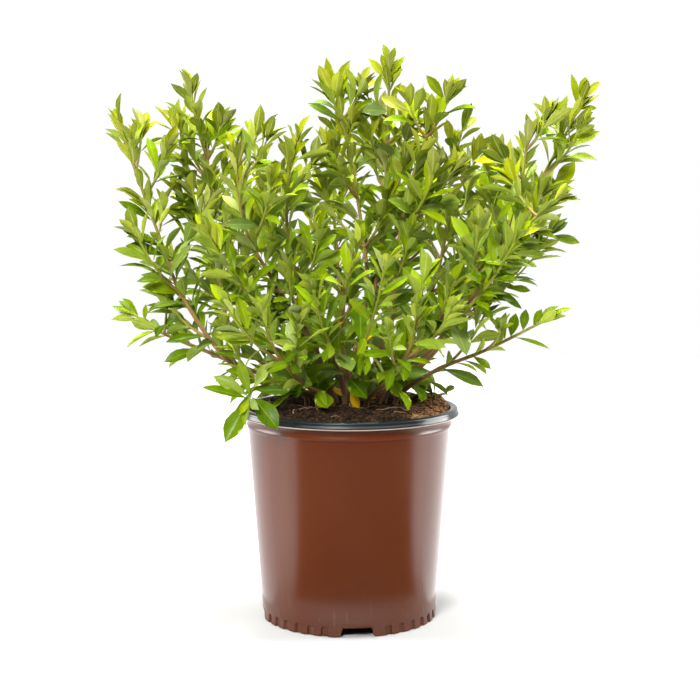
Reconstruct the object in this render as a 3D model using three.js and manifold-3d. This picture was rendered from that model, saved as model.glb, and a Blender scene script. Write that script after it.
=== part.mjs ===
// A potted gardenia: a many-stemmed leafy shrub in a moulded nursery pot filled with potting mix.
// Millimetres, +Z up. The origin is the middle of the pot's base, on the surface it stands on.
// -Y is the front. One mesh is the pot, one the potting mix, and one each leafy stem, with its side
// shoots and leaves grown into it. Every random draw is seeded, so the plant is the same each time.

import * as THREE from 'three';
import { mergeVertices } from 'three/addons/utils/BufferGeometryUtils.js';
import Module from 'manifold-3d';

const wasm = await Module();
wasm.setup();

// ---- Pot -------------------------------------------------------------------------------------
const POT_SIDES = 32;
const POT_HEIGHT = 221.5;
const WALL = 1.8;
const LIP_RADIUS = 114.5;
const LIP_DROP = 8.5; // the rolled lip's height, from its top to its turned-down edge
const LIP_MOUTH = 105;
const NECK_RADIUS = 106.4; // the band below the lip
const NECK_BOTTOM = 200.5;
const BODY_TOP_RADIUS = 105;
const BODY_FOOT_RADIUS = 90.8;
const BODY_FOOT_HEIGHT = 8;
const FOOT_RADIUS = 91.5;
const FOOT_RING = 5.5; // how thick the standing ring is
const CHANNEL_HEIGHT = 9; // the raised ring-shaped channel under the floor
const PAD_RADIUS = 35; // the flat middle pad that stands on the ground

const NOTCH_COUNT = 4;
const NOTCH_TURN = 5.3; // degrees from the front to the first drain notch
const NOTCH_WIDTH_LOW = 36;
const NOTCH_WIDTH_HIGH = 29;
const NOTCH_HEIGHT = 9.5;
const SCALLOP_ANGLES = [21, 30.6, 40.2, 49.8, 59.4, 69]; // degrees from each notch
const SCALLOP_WIDTH = 6.5;
const SCALLOP_HEIGHT = 10;
const SCALLOP_DEPTH = 2.2;

// ---- Potting mix -----------------------------------------------------------------------------
const FIT_GAP = 0.5; // between pieces that rest against each other
const MIX_SIDES = 16; // half of the pot's, so that its corners fit the pot's
const MIX_EDGE_HEIGHT = 217;
const MIX_MOUND = 8; // how much higher the middle is than the edge
const MIX_BUMP = 2;
const MIX_RINGS = 4;

// ---- Stems and shoots ------------------------------------------------------------------------
const STEM_FOOT = 200; // the height of the buried end of every stem
const STEM_KNEE = 232; // the height where a stem starts to lean
const STEM_RADIUS = 3.2;
const STEM_TIP_RADIUS = 1.2;
const STEM_SIDES = 4;
const STEM_RINGS = [0, 0.16, 0.33, 0.5, 0.67, 0.84, 1]; // where its sections lie
const HOLE_RINGS = 3; // how many of them its hole in the mix follows
const SHOOT_RADIUS = 1.6;
const SHOOT_TIP_RADIUS = 1.1;
const SHOOT_SIDES = 3;
const SHOOT_RINGS = [0.08, 0.5, 1];
const SHOOT_RISE = 1.25; // how much a side shoot rises for each millimetre that it reaches out
const SHOOT_MIN_RISE = 22;
const SHOOT_BOW = 0.2; // how far its middle stands out, and
const SHOOT_SAG = 0.08; // how far it hangs, as shares of the way to its tip
const SHOOT_BARE = 0.3;
const BUD_LENGTH = 3; // the point beyond the last section of a stem or shoot
const PATH_SAMPLES = 24;
const FIRST_SHOOT = 9; // the lowest of those samples that a side shoot may grow from

// Each stem: where it leaves the mix [x, y], the points that it grows through, how much of it is
// bare, and the tips of its side shoots.
const STEMS = [
  {
    name: 'stem_left_outer', foot: [-36, -4], bare: 0.5,
    route: [[-112, -10, 258], [-168, -15, 331], [-193, -20, 398], [-233, -25, 514]],
    shoots: [[-212, -4, 500], [-186, -30, 478], [-212, -44, 400], [-150, 8, 425], [-190, 0, 332]],
  },
  {
    name: 'stem_left_second', foot: [-26, 6], bare: 0.4,
    route: [[-88, 14, 262], [-128, 26, 308], [-142, 36, 390], [-150, 44, 500]],
    shoots: [
      [-164, 38, 542], [-134, 24, 508], [-178, 66, 510],
      [-118, 74, 452], [-160, 2, 440], [-108, 6, 352],
    ],
  },
  {
    name: 'stem_left_inner', foot: [-20, -10], bare: 0.4,
    route: [[-36, -22, 288], [-72, -38, 347], [-104, -56, 410], [-112, -66, 484]],
    shoots: [[-92, -50, 498], [-76, -88, 448], [-138, -74, 402], [-60, -72, 362]],
  },
  {
    name: 'stem_centre_left', foot: [-5, -11], bare: 0.55,
    route: [[-16, -16, 278], [-45, -24, 339], [-62, -32, 398], [-60, -40, 478]],
    shoots: [[-38, -28, 470], [-84, -66, 420], [-30, -62, 400], [-70, -4, 452]],
  },
  {
    name: 'stem_centre', foot: [0, 3], bare: 0.5,
    route: [[18, 8, 335], [12, 6, 415], [-11, 0, 538]],
    shoots: [[-17, 4, 540], [10, -6, 545], [-14, -22, 480], [38, -16, 430], [-26, 24, 440]],
  },
  {
    name: 'stem_centre_front', foot: [3, -22], bare: 0.35,
    route: [[-6, -52, 285], [-4, -84, 345], [8, -108, 392]],
    shoots: [[34, -122, 372], [-34, -126, 350]],
  },
  {
    name: 'stem_centre_tall', foot: [10, 13], bare: 0.5,
    route: [[24, 20, 320], [36, 20, 420], [42, 16, 571]],
    shoots: [[20, 6, 538], [58, 10, 510], [20, 40, 490], [56, -8, 470], [64, 34, 420]],
  },
  {
    name: 'stem_right_inner', foot: [17, -6], bare: 0.5,
    route: [[40, -10, 305], [56, -14, 425], [82, -18, 512]],
    shoots: [[98, -20, 532], [62, -24, 528], [84, -50, 460], [104, -4, 462], [60, -56, 400]],
  },
  {
    name: 'stem_right_mid', foot: [25, 14], bare: 0.4,
    route: [[75, 28, 310], [100, 44, 385], [109, 56, 492]],
    shoots: [[92, 70, 500], [134, 46, 478], [128, 86, 440], [78, 78, 420], [138, 30, 400]],
  },
  {
    name: 'stem_right_arch', foot: [34, -11], bare: 0.5,
    route: [[90, -16, 288], [146, -24, 368], [170, -28, 432], [180, -32, 500]],
    shoots: [[196, -28, 512], [156, -30, 474], [142, -52, 430], [190, -60, 440]],
  },
  {
    name: 'stem_right_outer', foot: [39, 3], bare: 0.5,
    route: [[74, 8, 260], [121, 12, 315], [152, 14, 370], [200, 18, 457], [242, 20, 537]],
    shoots: [[214, 30, 510], [234, -4, 505], [172, 34, 468], [216, 40, 440], [150, 46, 400]],
  },
  {
    name: 'stem_right_low_arch', foot: [31, -24], bare: 0.45,
    route: [[78, -44, 296], [115, -64, 352], [156, -84, 396], [202, -98, 438]],
    shoots: [[160, -116, 400], [124, -104, 404], [162, -72, 452], [98, -92, 350]],
  },
  {
    name: 'stem_low_right', foot: [50, -14], bare: 0.35,
    route: [[90, -26, 262], [140, -36, 284], [200, -46, 316]],
    shoots: [[150, -64, 304], [140, -14, 320]],
  },
  {
    name: 'stem_low_left', foot: [-47, 10], bare: 0.35,
    route: [[-90, 20, 250], [-148, 26, 274], [-199, 30, 295], [-228, 34, 314]],
    shoots: [[-190, 8, 322], [-166, 54, 314], [-128, -6, 296]],
  },
  {
    name: 'stem_front_right', foot: [19, -32], bare: 0.35,
    route: [[40, -58, 256], [60, -90, 292], [66, -116, 328]],
    shoots: [[96, -112, 326], [38, -136, 306]],
  },
  {
    name: 'stem_front_left_low', foot: [-34, -26], bare: 0.3,
    route: [[-62, -42, 244], [-96, -58, 258]],
    shoots: [[-118, -40, 288]],
  },
  {
    name: 'stem_front_left', foot: [-19, -34], bare: 0.35,
    route: [[-46, -58, 252], [-72, -88, 288], [-84, -108, 326]],
    shoots: [[-48, -124, 318], [-116, -104, 330]],
  },
  {
    name: 'stem_back_left', foot: [-16, 22], bare: 0.4,
    route: [[-50, 66, 298], [-84, 112, 396], [-98, 136, 474]],
    shoots: [[-120, 150, 452], [-60, 148, 446], [-112, 100, 416], [-52, 138, 370]],
  },
  {
    name: 'stem_back_centre', foot: [-2, 27], bare: 0.4,
    route: [[-8, 84, 296], [-16, 132, 404], [-26, 150, 492]],
    shoots: [[4, 168, 470], [-44, 174, 412], [20, 172, 388]],
  },
  {
    name: 'stem_back_right', foot: [14, 30], bare: 0.4,
    route: [[46, 88, 298], [70, 134, 396], [86, 160, 488]],
    shoots: [[112, 156, 462], [56, 172, 454], [106, 122, 416], [44, 170, 368]],
  },
  {
    name: 'stem_back_far_right', foot: [35, 23], bare: 0.4,
    route: [[86, 70, 294], [132, 112, 376], [156, 134, 456]],
    shoots: [[182, 124, 434], [134, 152, 434], [150, 158, 368], [178, 90, 388]],
  },
  {
    name: 'stem_back_far_left', foot: [-33, 22], bare: 0.4,
    route: [[-82, 70, 294], [-126, 112, 376], [-150, 130, 450]],
    shoots: [[-174, 122, 424], [-126, 154, 418], [-152, 158, 358], [-190, 98, 368]],
  },
  {
    name: 'stem_back_low', foot: [5, 40], bare: 0.35,
    route: [[6, 88, 262], [2, 132, 316]],
    shoots: [[48, 140, 314], [-46, 136, 318]],
  },
];

// ---- Leaves ----------------------------------------------------------------------------------
const LEAF_LENGTH = [31, 47]; // from the youngest whorl to full grown
const LEAF_LENGTH_SPREAD = 0.18;
const LEAF_ASPECT = 0.19; // half the width over the length
const LEAF_ROOT = 0.25; // how far from a shoot's axis a leaf starts, as a share of its radius
const LEAF_KEEL = 0.3; // how far the midrib stands below the blade's middle surface
const LEAF_ANGLE = [19, 55]; // degrees off the shoot, from the youngest whorl to the oldest
const LEAF_ANGLE_SPREAD = 9;
const LEAF_PLACE_SPREAD = 0.02; // along the shoot
const LEAF_UPRIGHT = 0.4; // how much a leaf's upper face turns from the shoot's tip to the sky
const LEAF_BEND = [8, 38]; // degrees that the blade curls back, from base to tip
const LEAF_FOLD = [28, 13]; // degrees that each half is raised
const LEAF_TURN_SPREAD = 22; // degrees
const LEAF_TWIST = 35; // degrees that a blade turns about its own length, either way
const LEAF_RINGS = [[0.38, 0.82], [0.7, 0.97]]; // where a section of the blade lies, and its width
const WHORL_TURN = 73; // degrees between one whorl and the next
const STEM_WHORL_GAP = 60;
const SHOOT_WHORL_GAP = 50;
const TIP_PLACE = 0.97; // where the youngest whorl grows, along the shoot
const TIP_LEAVES = 3;
const WHORL_LEAVES = 2;
const LEAF_CLEARANCE = 6; // to another stem's leaves and shoots
const OWN_CLEARANCE = 3; // to those of the same stem, for the outer part of a leaf
const LEAF_TRIES = [0, 28, -28, 56, -56]; // degrees that a crowded leaf turns round its shoot
const POT_CLEARANCE = 4;
const SAMPLE_SECTIONS = [[0.3, 0.6], [0.5, 0.93], [0.75, 0.9], [1, 0]]; // place and width on a leaf
const BASE_SAMPLES = 3; // those of the first section, which may be near the leaf's own stem

const MATERIALS = {
  pot: new THREE.MeshStandardMaterial({ color: 0x6b3a25, roughness: 0.42, metalness: 0 }),
  mix: new THREE.MeshStandardMaterial({ color: 0x3a2618, roughness: 0.98, metalness: 0 }),
  leaf: new THREE.MeshStandardMaterial({ color: 0x6f9a1e, roughness: 0.45, metalness: 0 }),
};

const radians = THREE.MathUtils.degToRad;
const lerp = THREE.MathUtils.lerp;
const DEPTH = new THREE.Vector3(0, 1, 0);
const UP = new THREE.Vector3(0, 0, 1);

// ---- Solids ----------------------------------------------------------------------------------

// A three.js geometry as a solid, and back.
function toSolid(geometry) {
  geometry.deleteAttribute('normal');
  geometry.deleteAttribute('uv');
  const merged = mergeVertices(geometry, 1e-4);
  const vertProperties = new Float32Array(merged.attributes.position.array);
  const triVerts = new Uint32Array(merged.index.array);
  return new wasm.Manifold(new wasm.Mesh({ numProp: 3, vertProperties, triVerts }));
}

function toGeometry(solid) {
  const mesh = solid.getMesh();
  const geometry = new THREE.BufferGeometry();
  geometry.setAttribute('position', new THREE.BufferAttribute(new Float32Array(mesh.vertProperties), 3));
  geometry.setIndex(new THREE.BufferAttribute(new Uint32Array(mesh.triVerts), 1));
  geometry.computeVertexNormals();
  return geometry;
}

// A closed lathe solid round +Z from (radius, height) pairs, anticlockwise.
function latheSolid(profile, sides) {
  const points = profile.map(([radius, height]) => new THREE.Vector2(radius, height));
  return new THREE.LatheGeometry(points, sides).rotateX(Math.PI / 2);
}

// A repeatable draw from 0 to 1 for a list of whole numbers.
function draw(...keys) {
  let hash = 0x9e3779b1;
  for (const key of keys) {
    hash = Math.imul(hash ^ (key + 1), 0x85ebca6b);
    hash ^= hash >>> 13;
    hash = Math.imul(hash, 0xc2b2ae35);
    hash ^= hash >>> 16;
  }
  return (hash >>> 0) / 4294967296;
}

const spread = (amount, ...keys) => amount * (2 * draw(...keys) - 1);

// ---- Pot -------------------------------------------------------------------------------------

function bodyRadius(height) {
  const share = (height - BODY_FOOT_HEIGHT) / (NECK_BOTTOM - BODY_FOOT_HEIGHT);
  return lerp(BODY_FOOT_RADIUS, BODY_TOP_RADIUS, share);
}

const FLOOR_TOP = CHANNEL_HEIGHT + WALL;

function potSolid() {
  const lipBottom = POT_HEIGHT - LIP_DROP;
  const profile = [
    [0, 0],
    [PAD_RADIUS, 0],
    [PAD_RADIUS + 2, CHANNEL_HEIGHT],
    [FOOT_RADIUS - FOOT_RING - 2, CHANNEL_HEIGHT],
    [FOOT_RADIUS - FOOT_RING, 0],
    [FOOT_RADIUS, 0],
    [BODY_FOOT_RADIUS, BODY_FOOT_HEIGHT],
    [BODY_TOP_RADIUS, NECK_BOTTOM],
    [NECK_RADIUS, NECK_BOTTOM + 1],
    [NECK_RADIUS + 0.8, POT_HEIGHT - WALL],
    [LIP_RADIUS - WALL, POT_HEIGHT - WALL],
    [LIP_RADIUS - WALL, lipBottom],
    [LIP_RADIUS, lipBottom],
    [LIP_RADIUS, POT_HEIGHT - 2.5],
    [LIP_RADIUS - 2.5, POT_HEIGHT],
    [LIP_MOUTH + 2, POT_HEIGHT],
    [LIP_MOUTH, POT_HEIGHT - 3],
    [bodyRadius(NECK_BOTTOM) - WALL, NECK_BOTTOM - 1],
    [bodyRadius(FLOOR_TOP) - WALL, FLOOR_TOP],
    [0, FLOOR_TOP],
  ];
  let solid = toSolid(latheSolid(profile, POT_SIDES));
  for (let quarter = 0; quarter < NOTCH_COUNT; quarter += 1) {
    const turn = NOTCH_TURN + (quarter * 360) / NOTCH_COUNT;
    solid = solid.subtract(footCutter(notchShape(), FOOT_RADIUS - FOOT_RING - 4, turn));
    for (const angle of SCALLOP_ANGLES) {
      solid = solid.subtract(footCutter(scallopShape(), FOOT_RADIUS - SCALLOP_DEPTH, turn + angle));
    }
  }
  return solid;
}

// A prism that cuts into the pot's foot from outside, as deep as `radius`.
function footCutter(shape, radius, turn) {
  const geometry = new THREE.ExtrudeGeometry(shape, { depth: LIP_RADIUS - radius, bevelEnabled: false });
  geometry.rotateX(Math.PI / 2);
  geometry.translate(0, -radius, 0);
  geometry.rotateZ(radians(turn));
  return toSolid(geometry);
}

function notchShape() {
  const shape = new THREE.Shape();
  shape.moveTo(-NOTCH_WIDTH_LOW / 2, -1);
  shape.lineTo(NOTCH_WIDTH_LOW / 2, -1);
  shape.lineTo(NOTCH_WIDTH_HIGH / 2, NOTCH_HEIGHT);
  shape.lineTo(-NOTCH_WIDTH_HIGH / 2, NOTCH_HEIGHT);
  return shape;
}

function scallopShape() {
  const half = SCALLOP_WIDTH / 2;
  const shape = new THREE.Shape();
  shape.moveTo(-half, -1);
  shape.lineTo(half, -1);
  shape.lineTo(half, SCALLOP_HEIGHT - half);
  shape.lineTo(0, SCALLOP_HEIGHT);
  shape.lineTo(-half, SCALLOP_HEIGHT - half);
  return shape;
}

// ---- Potting mix -----------------------------------------------------------------------------

function mixHeight(radius) {
  const share = radius / LIP_MOUTH;
  return MIX_EDGE_HEIGHT + MIX_MOUND * (1 - share * share * share);
}

function mixSolid(stems) {
  const edge = bodyRadius(MIX_EDGE_HEIGHT) - WALL - FIT_GAP;
  const floor = FLOOR_TOP + FIT_GAP;
  const profile = [
    [0, floor],
    [bodyRadius(FLOOR_TOP) - WALL - FIT_GAP, floor],
  ];
  for (let ring = MIX_RINGS; ring >= 0; ring -= 1) {
    const radius = (edge * ring) / MIX_RINGS;
    profile.push([radius, mixHeight(radius)]);
  }
  const geometry = latheSolid(profile, MIX_SIDES);
  const position = geometry.attributes.position;
  for (let index = 0; index < position.count; index += 1) {
    const [x, y, z] = [position.getX(index), position.getY(index), position.getZ(index)];
    if (z > MIX_EDGE_HEIGHT + 0.1) {
      position.setZ(index, z + spread(MIX_BUMP, Math.round(x * 10), Math.round(y * 10)));
    }
  }
  let solid = toSolid(geometry);
  for (const stem of stems) {
    solid = solid.subtract(toSolid(tubeGeometry(stem.axes[0], HOLE_RINGS, FIT_GAP)));
  }
  return solid;
}

// ---- Stems and shoots ------------------------------------------------------------------------

const vector = ([x, y, z]) => new THREE.Vector3(x, y, z);

// The point, the direction and two side directions of a path at t.
function frameAt(path, t) {
  return frameFrom(path.getPoint(t), path.getTangent(t));
}

// The same on the straight pieces of the tube that is built along an axis.
function chordFrameAt({ path, rings }, t) {
  const next = Math.max(1, rings.findIndex((ring) => ring >= t));
  const start = path.getPoint(rings[next - 1]);
  const end = path.getPoint(rings[next]);
  const along = end.clone().sub(start).normalize();
  const share = (t - rings[next - 1]) / (rings[next] - rings[next - 1]);
  return frameFrom(start.lerp(end, share), along);
}

function frameFrom(point, along) {
  const deep = DEPTH.clone().addScaledVector(along, -along.dot(DEPTH)).normalize();
  const side = new THREE.Vector3().crossVectors(along, deep);
  return { point, along, deep, side };
}

// A closed spindle: a sphere of few sides whose poles and rings are moved to where `place` says.
function spindleGeometry(sides, rings, place) {
  const geometry = new THREE.SphereGeometry(1, sides, rings + 1);
  const { position, uv } = geometry.attributes;
  for (let index = 0; index < position.count; index += 1) {
    const ring = Math.round(uv.getY(index) * (rings + 1));
    const corner = Math.round(uv.getX(index) * sides) % sides;
    const point = place(ring, corner);
    position.setXYZ(index, point.x, point.y, point.z);
  }
  return geometry;
}

// A tapered tube along an axis, through its first `count` rings, fatter and deeper by `extra`. It
// ends in a point.
function tubeGeometry(axis, count, extra = 0) {
  const { path, rings, sides, radiusAt } = axis;
  return spindleGeometry(sides, count, (ring, corner) => {
    const t = ring === 0 ? 0 : rings[Math.min(ring, count) - 1];
    const { point, along, deep, side } = frameAt(path, t);
    const turn = (2 * Math.PI * corner) / sides;
    const radius = ring === 0 || ring > count ? 0 : radiusAt(t) + extra;
    point.addScaledVector(deep, radius * Math.cos(turn));
    point.addScaledVector(side, radius * Math.sin(turn));
    point.addScaledVector(along, ring > count ? BUD_LENGTH : 0);
    point.z -= ring <= 1 ? extra : 0;
    return point;
  });
}

function stemPath({ foot, route }) {
  const [x, y] = foot;
  const points = [[x, y, STEM_FOOT], [x, y, STEM_KNEE], ...route].map(vector);
  return new THREE.CatmullRomCurve3(points, false, 'catmullrom', 0.5);
}

// A side shoot leaves its stem below its tip, and curves up towards it.
function shootPath(stemAxis, tipPoint) {
  const tip = vector(tipPoint);
  let start = null;
  let best = Infinity;
  for (let step = FIRST_SHOOT; step < PATH_SAMPLES; step += 1) {
    const { point } = chordFrameAt(stemAxis, step / PATH_SAMPLES);
    const reach = Math.hypot(tip.x - point.x, tip.y - point.y);
    const miss = Math.abs(tip.z - point.z - Math.max(SHOOT_MIN_RISE, SHOOT_RISE * reach));
    if (miss < best) {
      best = miss;
      start = point;
    }
  }
  const middle = start.clone().lerp(tip, 0.5);
  middle.x += (tip.x - start.x) * SHOOT_BOW;
  middle.y += (tip.y - start.y) * SHOOT_BOW;
  middle.z -= (tip.z - start.z) * SHOOT_SAG;
  return new THREE.QuadraticBezierCurve3(start, middle, tip);
}

// Every stem with its shoots: each has a path, a radius and the first leaf's place on it.
function growStems() {
  return STEMS.map((stem, stemIndex) => {
    const main = {
      path: stemPath(stem),
      radiusAt: (t) => lerp(STEM_RADIUS, STEM_TIP_RADIUS, t),
      sides: STEM_SIDES,
      rings: STEM_RINGS,
      bare: stem.bare,
      gap: STEM_WHORL_GAP,
      keys: [stemIndex, 0],
    };
    const shoots = stem.shoots.map((tip, index) => ({
      path: shootPath(main, tip),
      radiusAt: (t) => lerp(SHOOT_RADIUS, SHOOT_TIP_RADIUS, t),
      sides: SHOOT_SIDES,
      rings: SHOOT_RINGS,
      bare: SHOOT_BARE,
      gap: SHOOT_WHORL_GAP,
      keys: [stemIndex, index + 1],
    }));
    return { name: stem.name, axes: [main, ...shoots] };
  });
}

// ---- Leaves ----------------------------------------------------------------------------------

// The leaves of one stem or shoot, oldest first. `age` runs from 1 (oldest) to 0 (the tip).
function leafPlans(axis) {
  const length = axis.path.getLength() * (1 - axis.bare);
  const whorls = Math.max(1, Math.round(length / axis.gap));
  const plans = [];
  for (let whorl = 0; whorl < whorls; whorl += 1) {
    const age = whorls > 1 ? 1 - whorl / (whorls - 1) : 0;
    const count = age === 0 ? TIP_LEAVES : WHORL_LEAVES;
    for (let leaf = 0; leaf < count; leaf += 1) {
      const keys = [...axis.keys, whorl, leaf];
      const t = lerp(TIP_PLACE, axis.bare, age) + spread(LEAF_PLACE_SPREAD, ...keys, 0);
      const size = 1 + spread(LEAF_LENGTH_SPREAD, ...keys, 1);
      const grown = Math.sqrt(age);
      plans.push({
        t,
        turn: whorl * WHORL_TURN + (leaf * 360) / count + spread(LEAF_TURN_SPREAD, ...keys, 2),
        length: lerp(LEAF_LENGTH[0], LEAF_LENGTH[1], grown) * size,
        angle: lerp(LEAF_ANGLE[0], LEAF_ANGLE[1], grown) + spread(LEAF_ANGLE_SPREAD, ...keys, 3),
        bend: lerp(LEAF_BEND[0], LEAF_BEND[1], age) * (0.5 + draw(...keys, 4)),
        fold: lerp(LEAF_FOLD[0], LEAF_FOLD[1], grown),
        twist: spread(LEAF_TWIST, ...keys, 6),
      });
    }
  }
  return plans;
}

// A leaf's own frame: it starts at `root`, points along `out`, and its upper face looks along `up`.
function leafFrame(axis, plan, extraTurn) {
  const { point, along, deep, side } = chordFrameAt(axis, plan.t);
  const turn = radians(plan.turn + extraTurn);
  const angle = radians(plan.angle);
  const away = deep.multiplyScalar(Math.cos(turn)).addScaledVector(side, Math.sin(turn));
  const root = point.addScaledVector(away, LEAF_ROOT * axis.radiusAt(plan.t));
  const out = along.clone().multiplyScalar(Math.cos(angle)).addScaledVector(away, Math.sin(angle));
  const up = along.clone().multiplyScalar(1 - LEAF_UPRIGHT).addScaledVector(UP, LEAF_UPRIGHT);
  up.addScaledVector(out, -up.dot(out)).normalize().applyAxisAngle(out, radians(plan.twist));
  const across = new THREE.Vector3().crossVectors(out, up);
  return { root, out, up, across };
}

// A point of the blade: `along` from 0 to 1, `across` from -1 to 1, `lift` off the middle surface.
function bladePoint(frame, plan, along, across, width, lift) {
  const bend = radians(plan.bend) * along;
  const arc = plan.length / radians(plan.bend);
  const half = width * LEAF_ASPECT * plan.length;
  const fold = radians(plan.fold);
  const point = frame.root.clone();
  point.addScaledVector(frame.out, arc * Math.sin(bend));
  point.addScaledVector(frame.up, -arc * (1 - Math.cos(bend)));
  point.addScaledVector(frame.across, across * half * Math.cos(fold));
  const rise = Math.abs(across) * half * Math.sin(fold) + lift;
  point.addScaledVector(frame.up, rise * Math.cos(bend));
  point.addScaledVector(frame.out, rise * Math.sin(bend));
  return point;
}

// The blade's sections have two edges and a keel, and it narrows to a point at both ends.
function leafSolid(frame, plan) {
  const rings = LEAF_RINGS.length;
  const corners = [[-1, 0], [1, 0], [0, -LEAF_KEEL]];
  return toSolid(spindleGeometry(corners.length, rings, (ring, corner) => {
    if (ring === 0 || ring > rings) {
      return bladePoint(frame, plan, Math.min(ring, 1), 0, 0, 0);
    }
    const [along, width] = LEAF_RINGS[ring - 1];
    const [across, lift] = corners[corner];
    return bladePoint(frame, plan, along, across, width, lift);
  }));
}

// Points that stand for a leaf and for a shoot where leaves are kept apart, base first.
function leafSamples(frame, plan) {
  const samples = [];
  for (const [along, width] of SAMPLE_SECTIONS) {
    for (const across of width > 0 ? [-1, 0, 1] : [0]) {
      samples.push(bladePoint(frame, plan, along, across, width, 0));
    }
  }
  return samples;
}

function axisSamples(axis) {
  return Array.from({ length: PATH_SAMPLES + 1 }, (_, step) => axis.path.getPoint(step / PATH_SAMPLES));
}

function clearOfPot(point) {
  const radius = Math.hypot(point.x, point.y);
  if (radius > LIP_RADIUS + POT_CLEARANCE) {
    return true;
  }
  const under = radius > LIP_MOUTH - POT_CLEARANCE ? POT_HEIGHT : mixHeight(radius) + MIX_BUMP;
  return point.z > under + POT_CLEARANCE;
}

// ---- Assembly --------------------------------------------------------------------------------

// The leaves of every stem, each turned round its shoot until it is clear of the other stems.
function growLeaves(stems, fixedSolids) {
  const taken = stems.map((stem) => stem.axes.flatMap(axisSamples));
  const solids = stems.map((stem) => stem.axes.map(axisSolid));
  const isClear = (samples, own) => samples.every((sample, index) => clearOfPot(sample) && taken.every(
    (points, other) => {
      const near = other === own ? OWN_CLEARANCE : LEAF_CLEARANCE;
      const joined = other === own && index < BASE_SAMPLES;
      return joined || points.every((point) => point.distanceTo(sample) > near);
    },
  ));
  const crosses = (leaf, own) => fixedSolids.some((solid) => meets(leaf, solid)) || solids.some(
    (pieces, other) => other !== own && pieces.some((piece) => meets(leaf, piece)),
  );
  stems.forEach((stem, own) => {
    for (const axis of stem.axes) {
      for (const plan of leafPlans(axis)) {
        const frame = LEAF_TRIES.map((turn) => leafFrame(axis, plan, turn))
          .find((candidate) => isClear(leafSamples(candidate, plan), own));
        if (!frame) {
          continue;
        }
        const solid = leafSolid(frame, plan);
        if (!crosses(solid, own)) {
          taken[own].push(...leafSamples(frame, plan));
          solids[own].push(solid);
        }
      }
    }
  });
  return solids;
}

function axisSolid(axis) {
  return toSolid(tubeGeometry(axis, axis.rings.length));
}

function meets(first, second) {
  const a = first.boundingBox();
  const b = second.boundingBox();
  for (let axis = 0; axis < 3; axis += 1) {
    if (a.min[axis] > b.max[axis] || b.min[axis] > a.max[axis]) {
      return false;
    }
  }
  return !first.intersect(second).isEmpty();
}

function addPiece(group, name, solid, material) {
  const mesh = new THREE.Mesh(toGeometry(solid), material);
  mesh.name = name;
  group.add(mesh);
}

const gardenia = new THREE.Group();
const stems = growStems();
const pot = potSolid();
const mix = mixSolid(stems);
addPiece(gardenia, 'pot', pot, MATERIALS.pot);
addPiece(gardenia, 'potting_mix', mix, MATERIALS.mix);
growLeaves(stems, [pot, mix]).forEach((pieces, index) => {
  const leafyStem = pieces.reduce((whole, piece) => whole.add(piece));
  addPiece(gardenia, stems[index].name, leafyStem, MATERIALS.leaf);
});

export default gardenia;
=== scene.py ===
"""Potted gardenia, dressed: a bushy evergreen shrub in a moulded nursery pot.

Shapes are worked out in millimetres and written in metres. +Z is up, -Y is the front, and the
origin is the middle of the pot's base. Every draw is seeded, so each run grows the same plant.
"""

from __future__ import annotations

import logging
import math
from collections.abc import Callable, Sequence
from dataclasses import dataclass, field
from enum import Enum
from typing import Any

import bpy
import numpy as np
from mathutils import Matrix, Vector


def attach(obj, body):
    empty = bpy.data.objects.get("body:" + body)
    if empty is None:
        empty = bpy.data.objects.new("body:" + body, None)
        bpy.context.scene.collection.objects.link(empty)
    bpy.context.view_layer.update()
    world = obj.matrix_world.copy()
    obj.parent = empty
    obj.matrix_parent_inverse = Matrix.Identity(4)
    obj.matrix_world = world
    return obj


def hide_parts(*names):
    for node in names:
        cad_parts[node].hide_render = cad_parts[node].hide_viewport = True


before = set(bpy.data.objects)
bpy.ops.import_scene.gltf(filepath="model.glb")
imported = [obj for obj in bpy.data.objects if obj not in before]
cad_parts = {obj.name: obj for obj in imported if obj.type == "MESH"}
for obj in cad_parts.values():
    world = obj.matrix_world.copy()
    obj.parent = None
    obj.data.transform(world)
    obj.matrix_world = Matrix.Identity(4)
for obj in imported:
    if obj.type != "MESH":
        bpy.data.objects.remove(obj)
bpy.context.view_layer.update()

LOG = logging.getLogger("gardenia")
MM = 0.001
BODY = "root"
Z_AXIS = np.array([0.0, 0.0, 1.0])
Y_AXIS = np.array([0.0, 1.0, 0.0])
GOLDEN_ANGLE = 137.5
WHITE_LIGHT = (1.0, 1.0, 1.0, 1.0)


# ---- Meshes ----------------------------------------------------------------------------------


@dataclass
class Surface:
    """A closed surface in millimetres.

    Attributes:
        points: Vertices, one row each.
        corners: The vertex of every face corner, face after face.
        sizes: How many corners each face has.
        finish: Each face's place in the piece's list of materials.
        uv: One pair for each vertex.
        traits: Named numbers, one for each vertex, that materials read.
    """

    points: np.ndarray
    corners: np.ndarray
    sizes: np.ndarray
    finish: np.ndarray
    uv: np.ndarray
    traits: dict[str, np.ndarray] = field(default_factory=dict)


def join_surfaces(parts: Sequence[Surface]) -> Surface:
    """Puts surfaces into one, with the traits that any of them has.

    Args:
        parts: The surfaces, at least one.

    Returns:
        One surface. A trait that a part lacks is 0 there.
    """
    starts = np.cumsum([0] + [len(part.points) for part in parts[:-1]])
    points, sizes, finish, uv = (
        np.concatenate([getattr(part, name) for part in parts])
        for name in ("points", "sizes", "finish", "uv")
    )
    corners = np.concatenate([part.corners + start for part, start in zip(parts, starts)])
    traits = {
        name: np.concatenate([part.traits.get(name, np.zeros(len(part.points))) for part in parts])
        for name in sorted({name for part in parts for name in part.traits})
    }
    return Surface(points, corners, sizes, finish, uv, traits)


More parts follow.
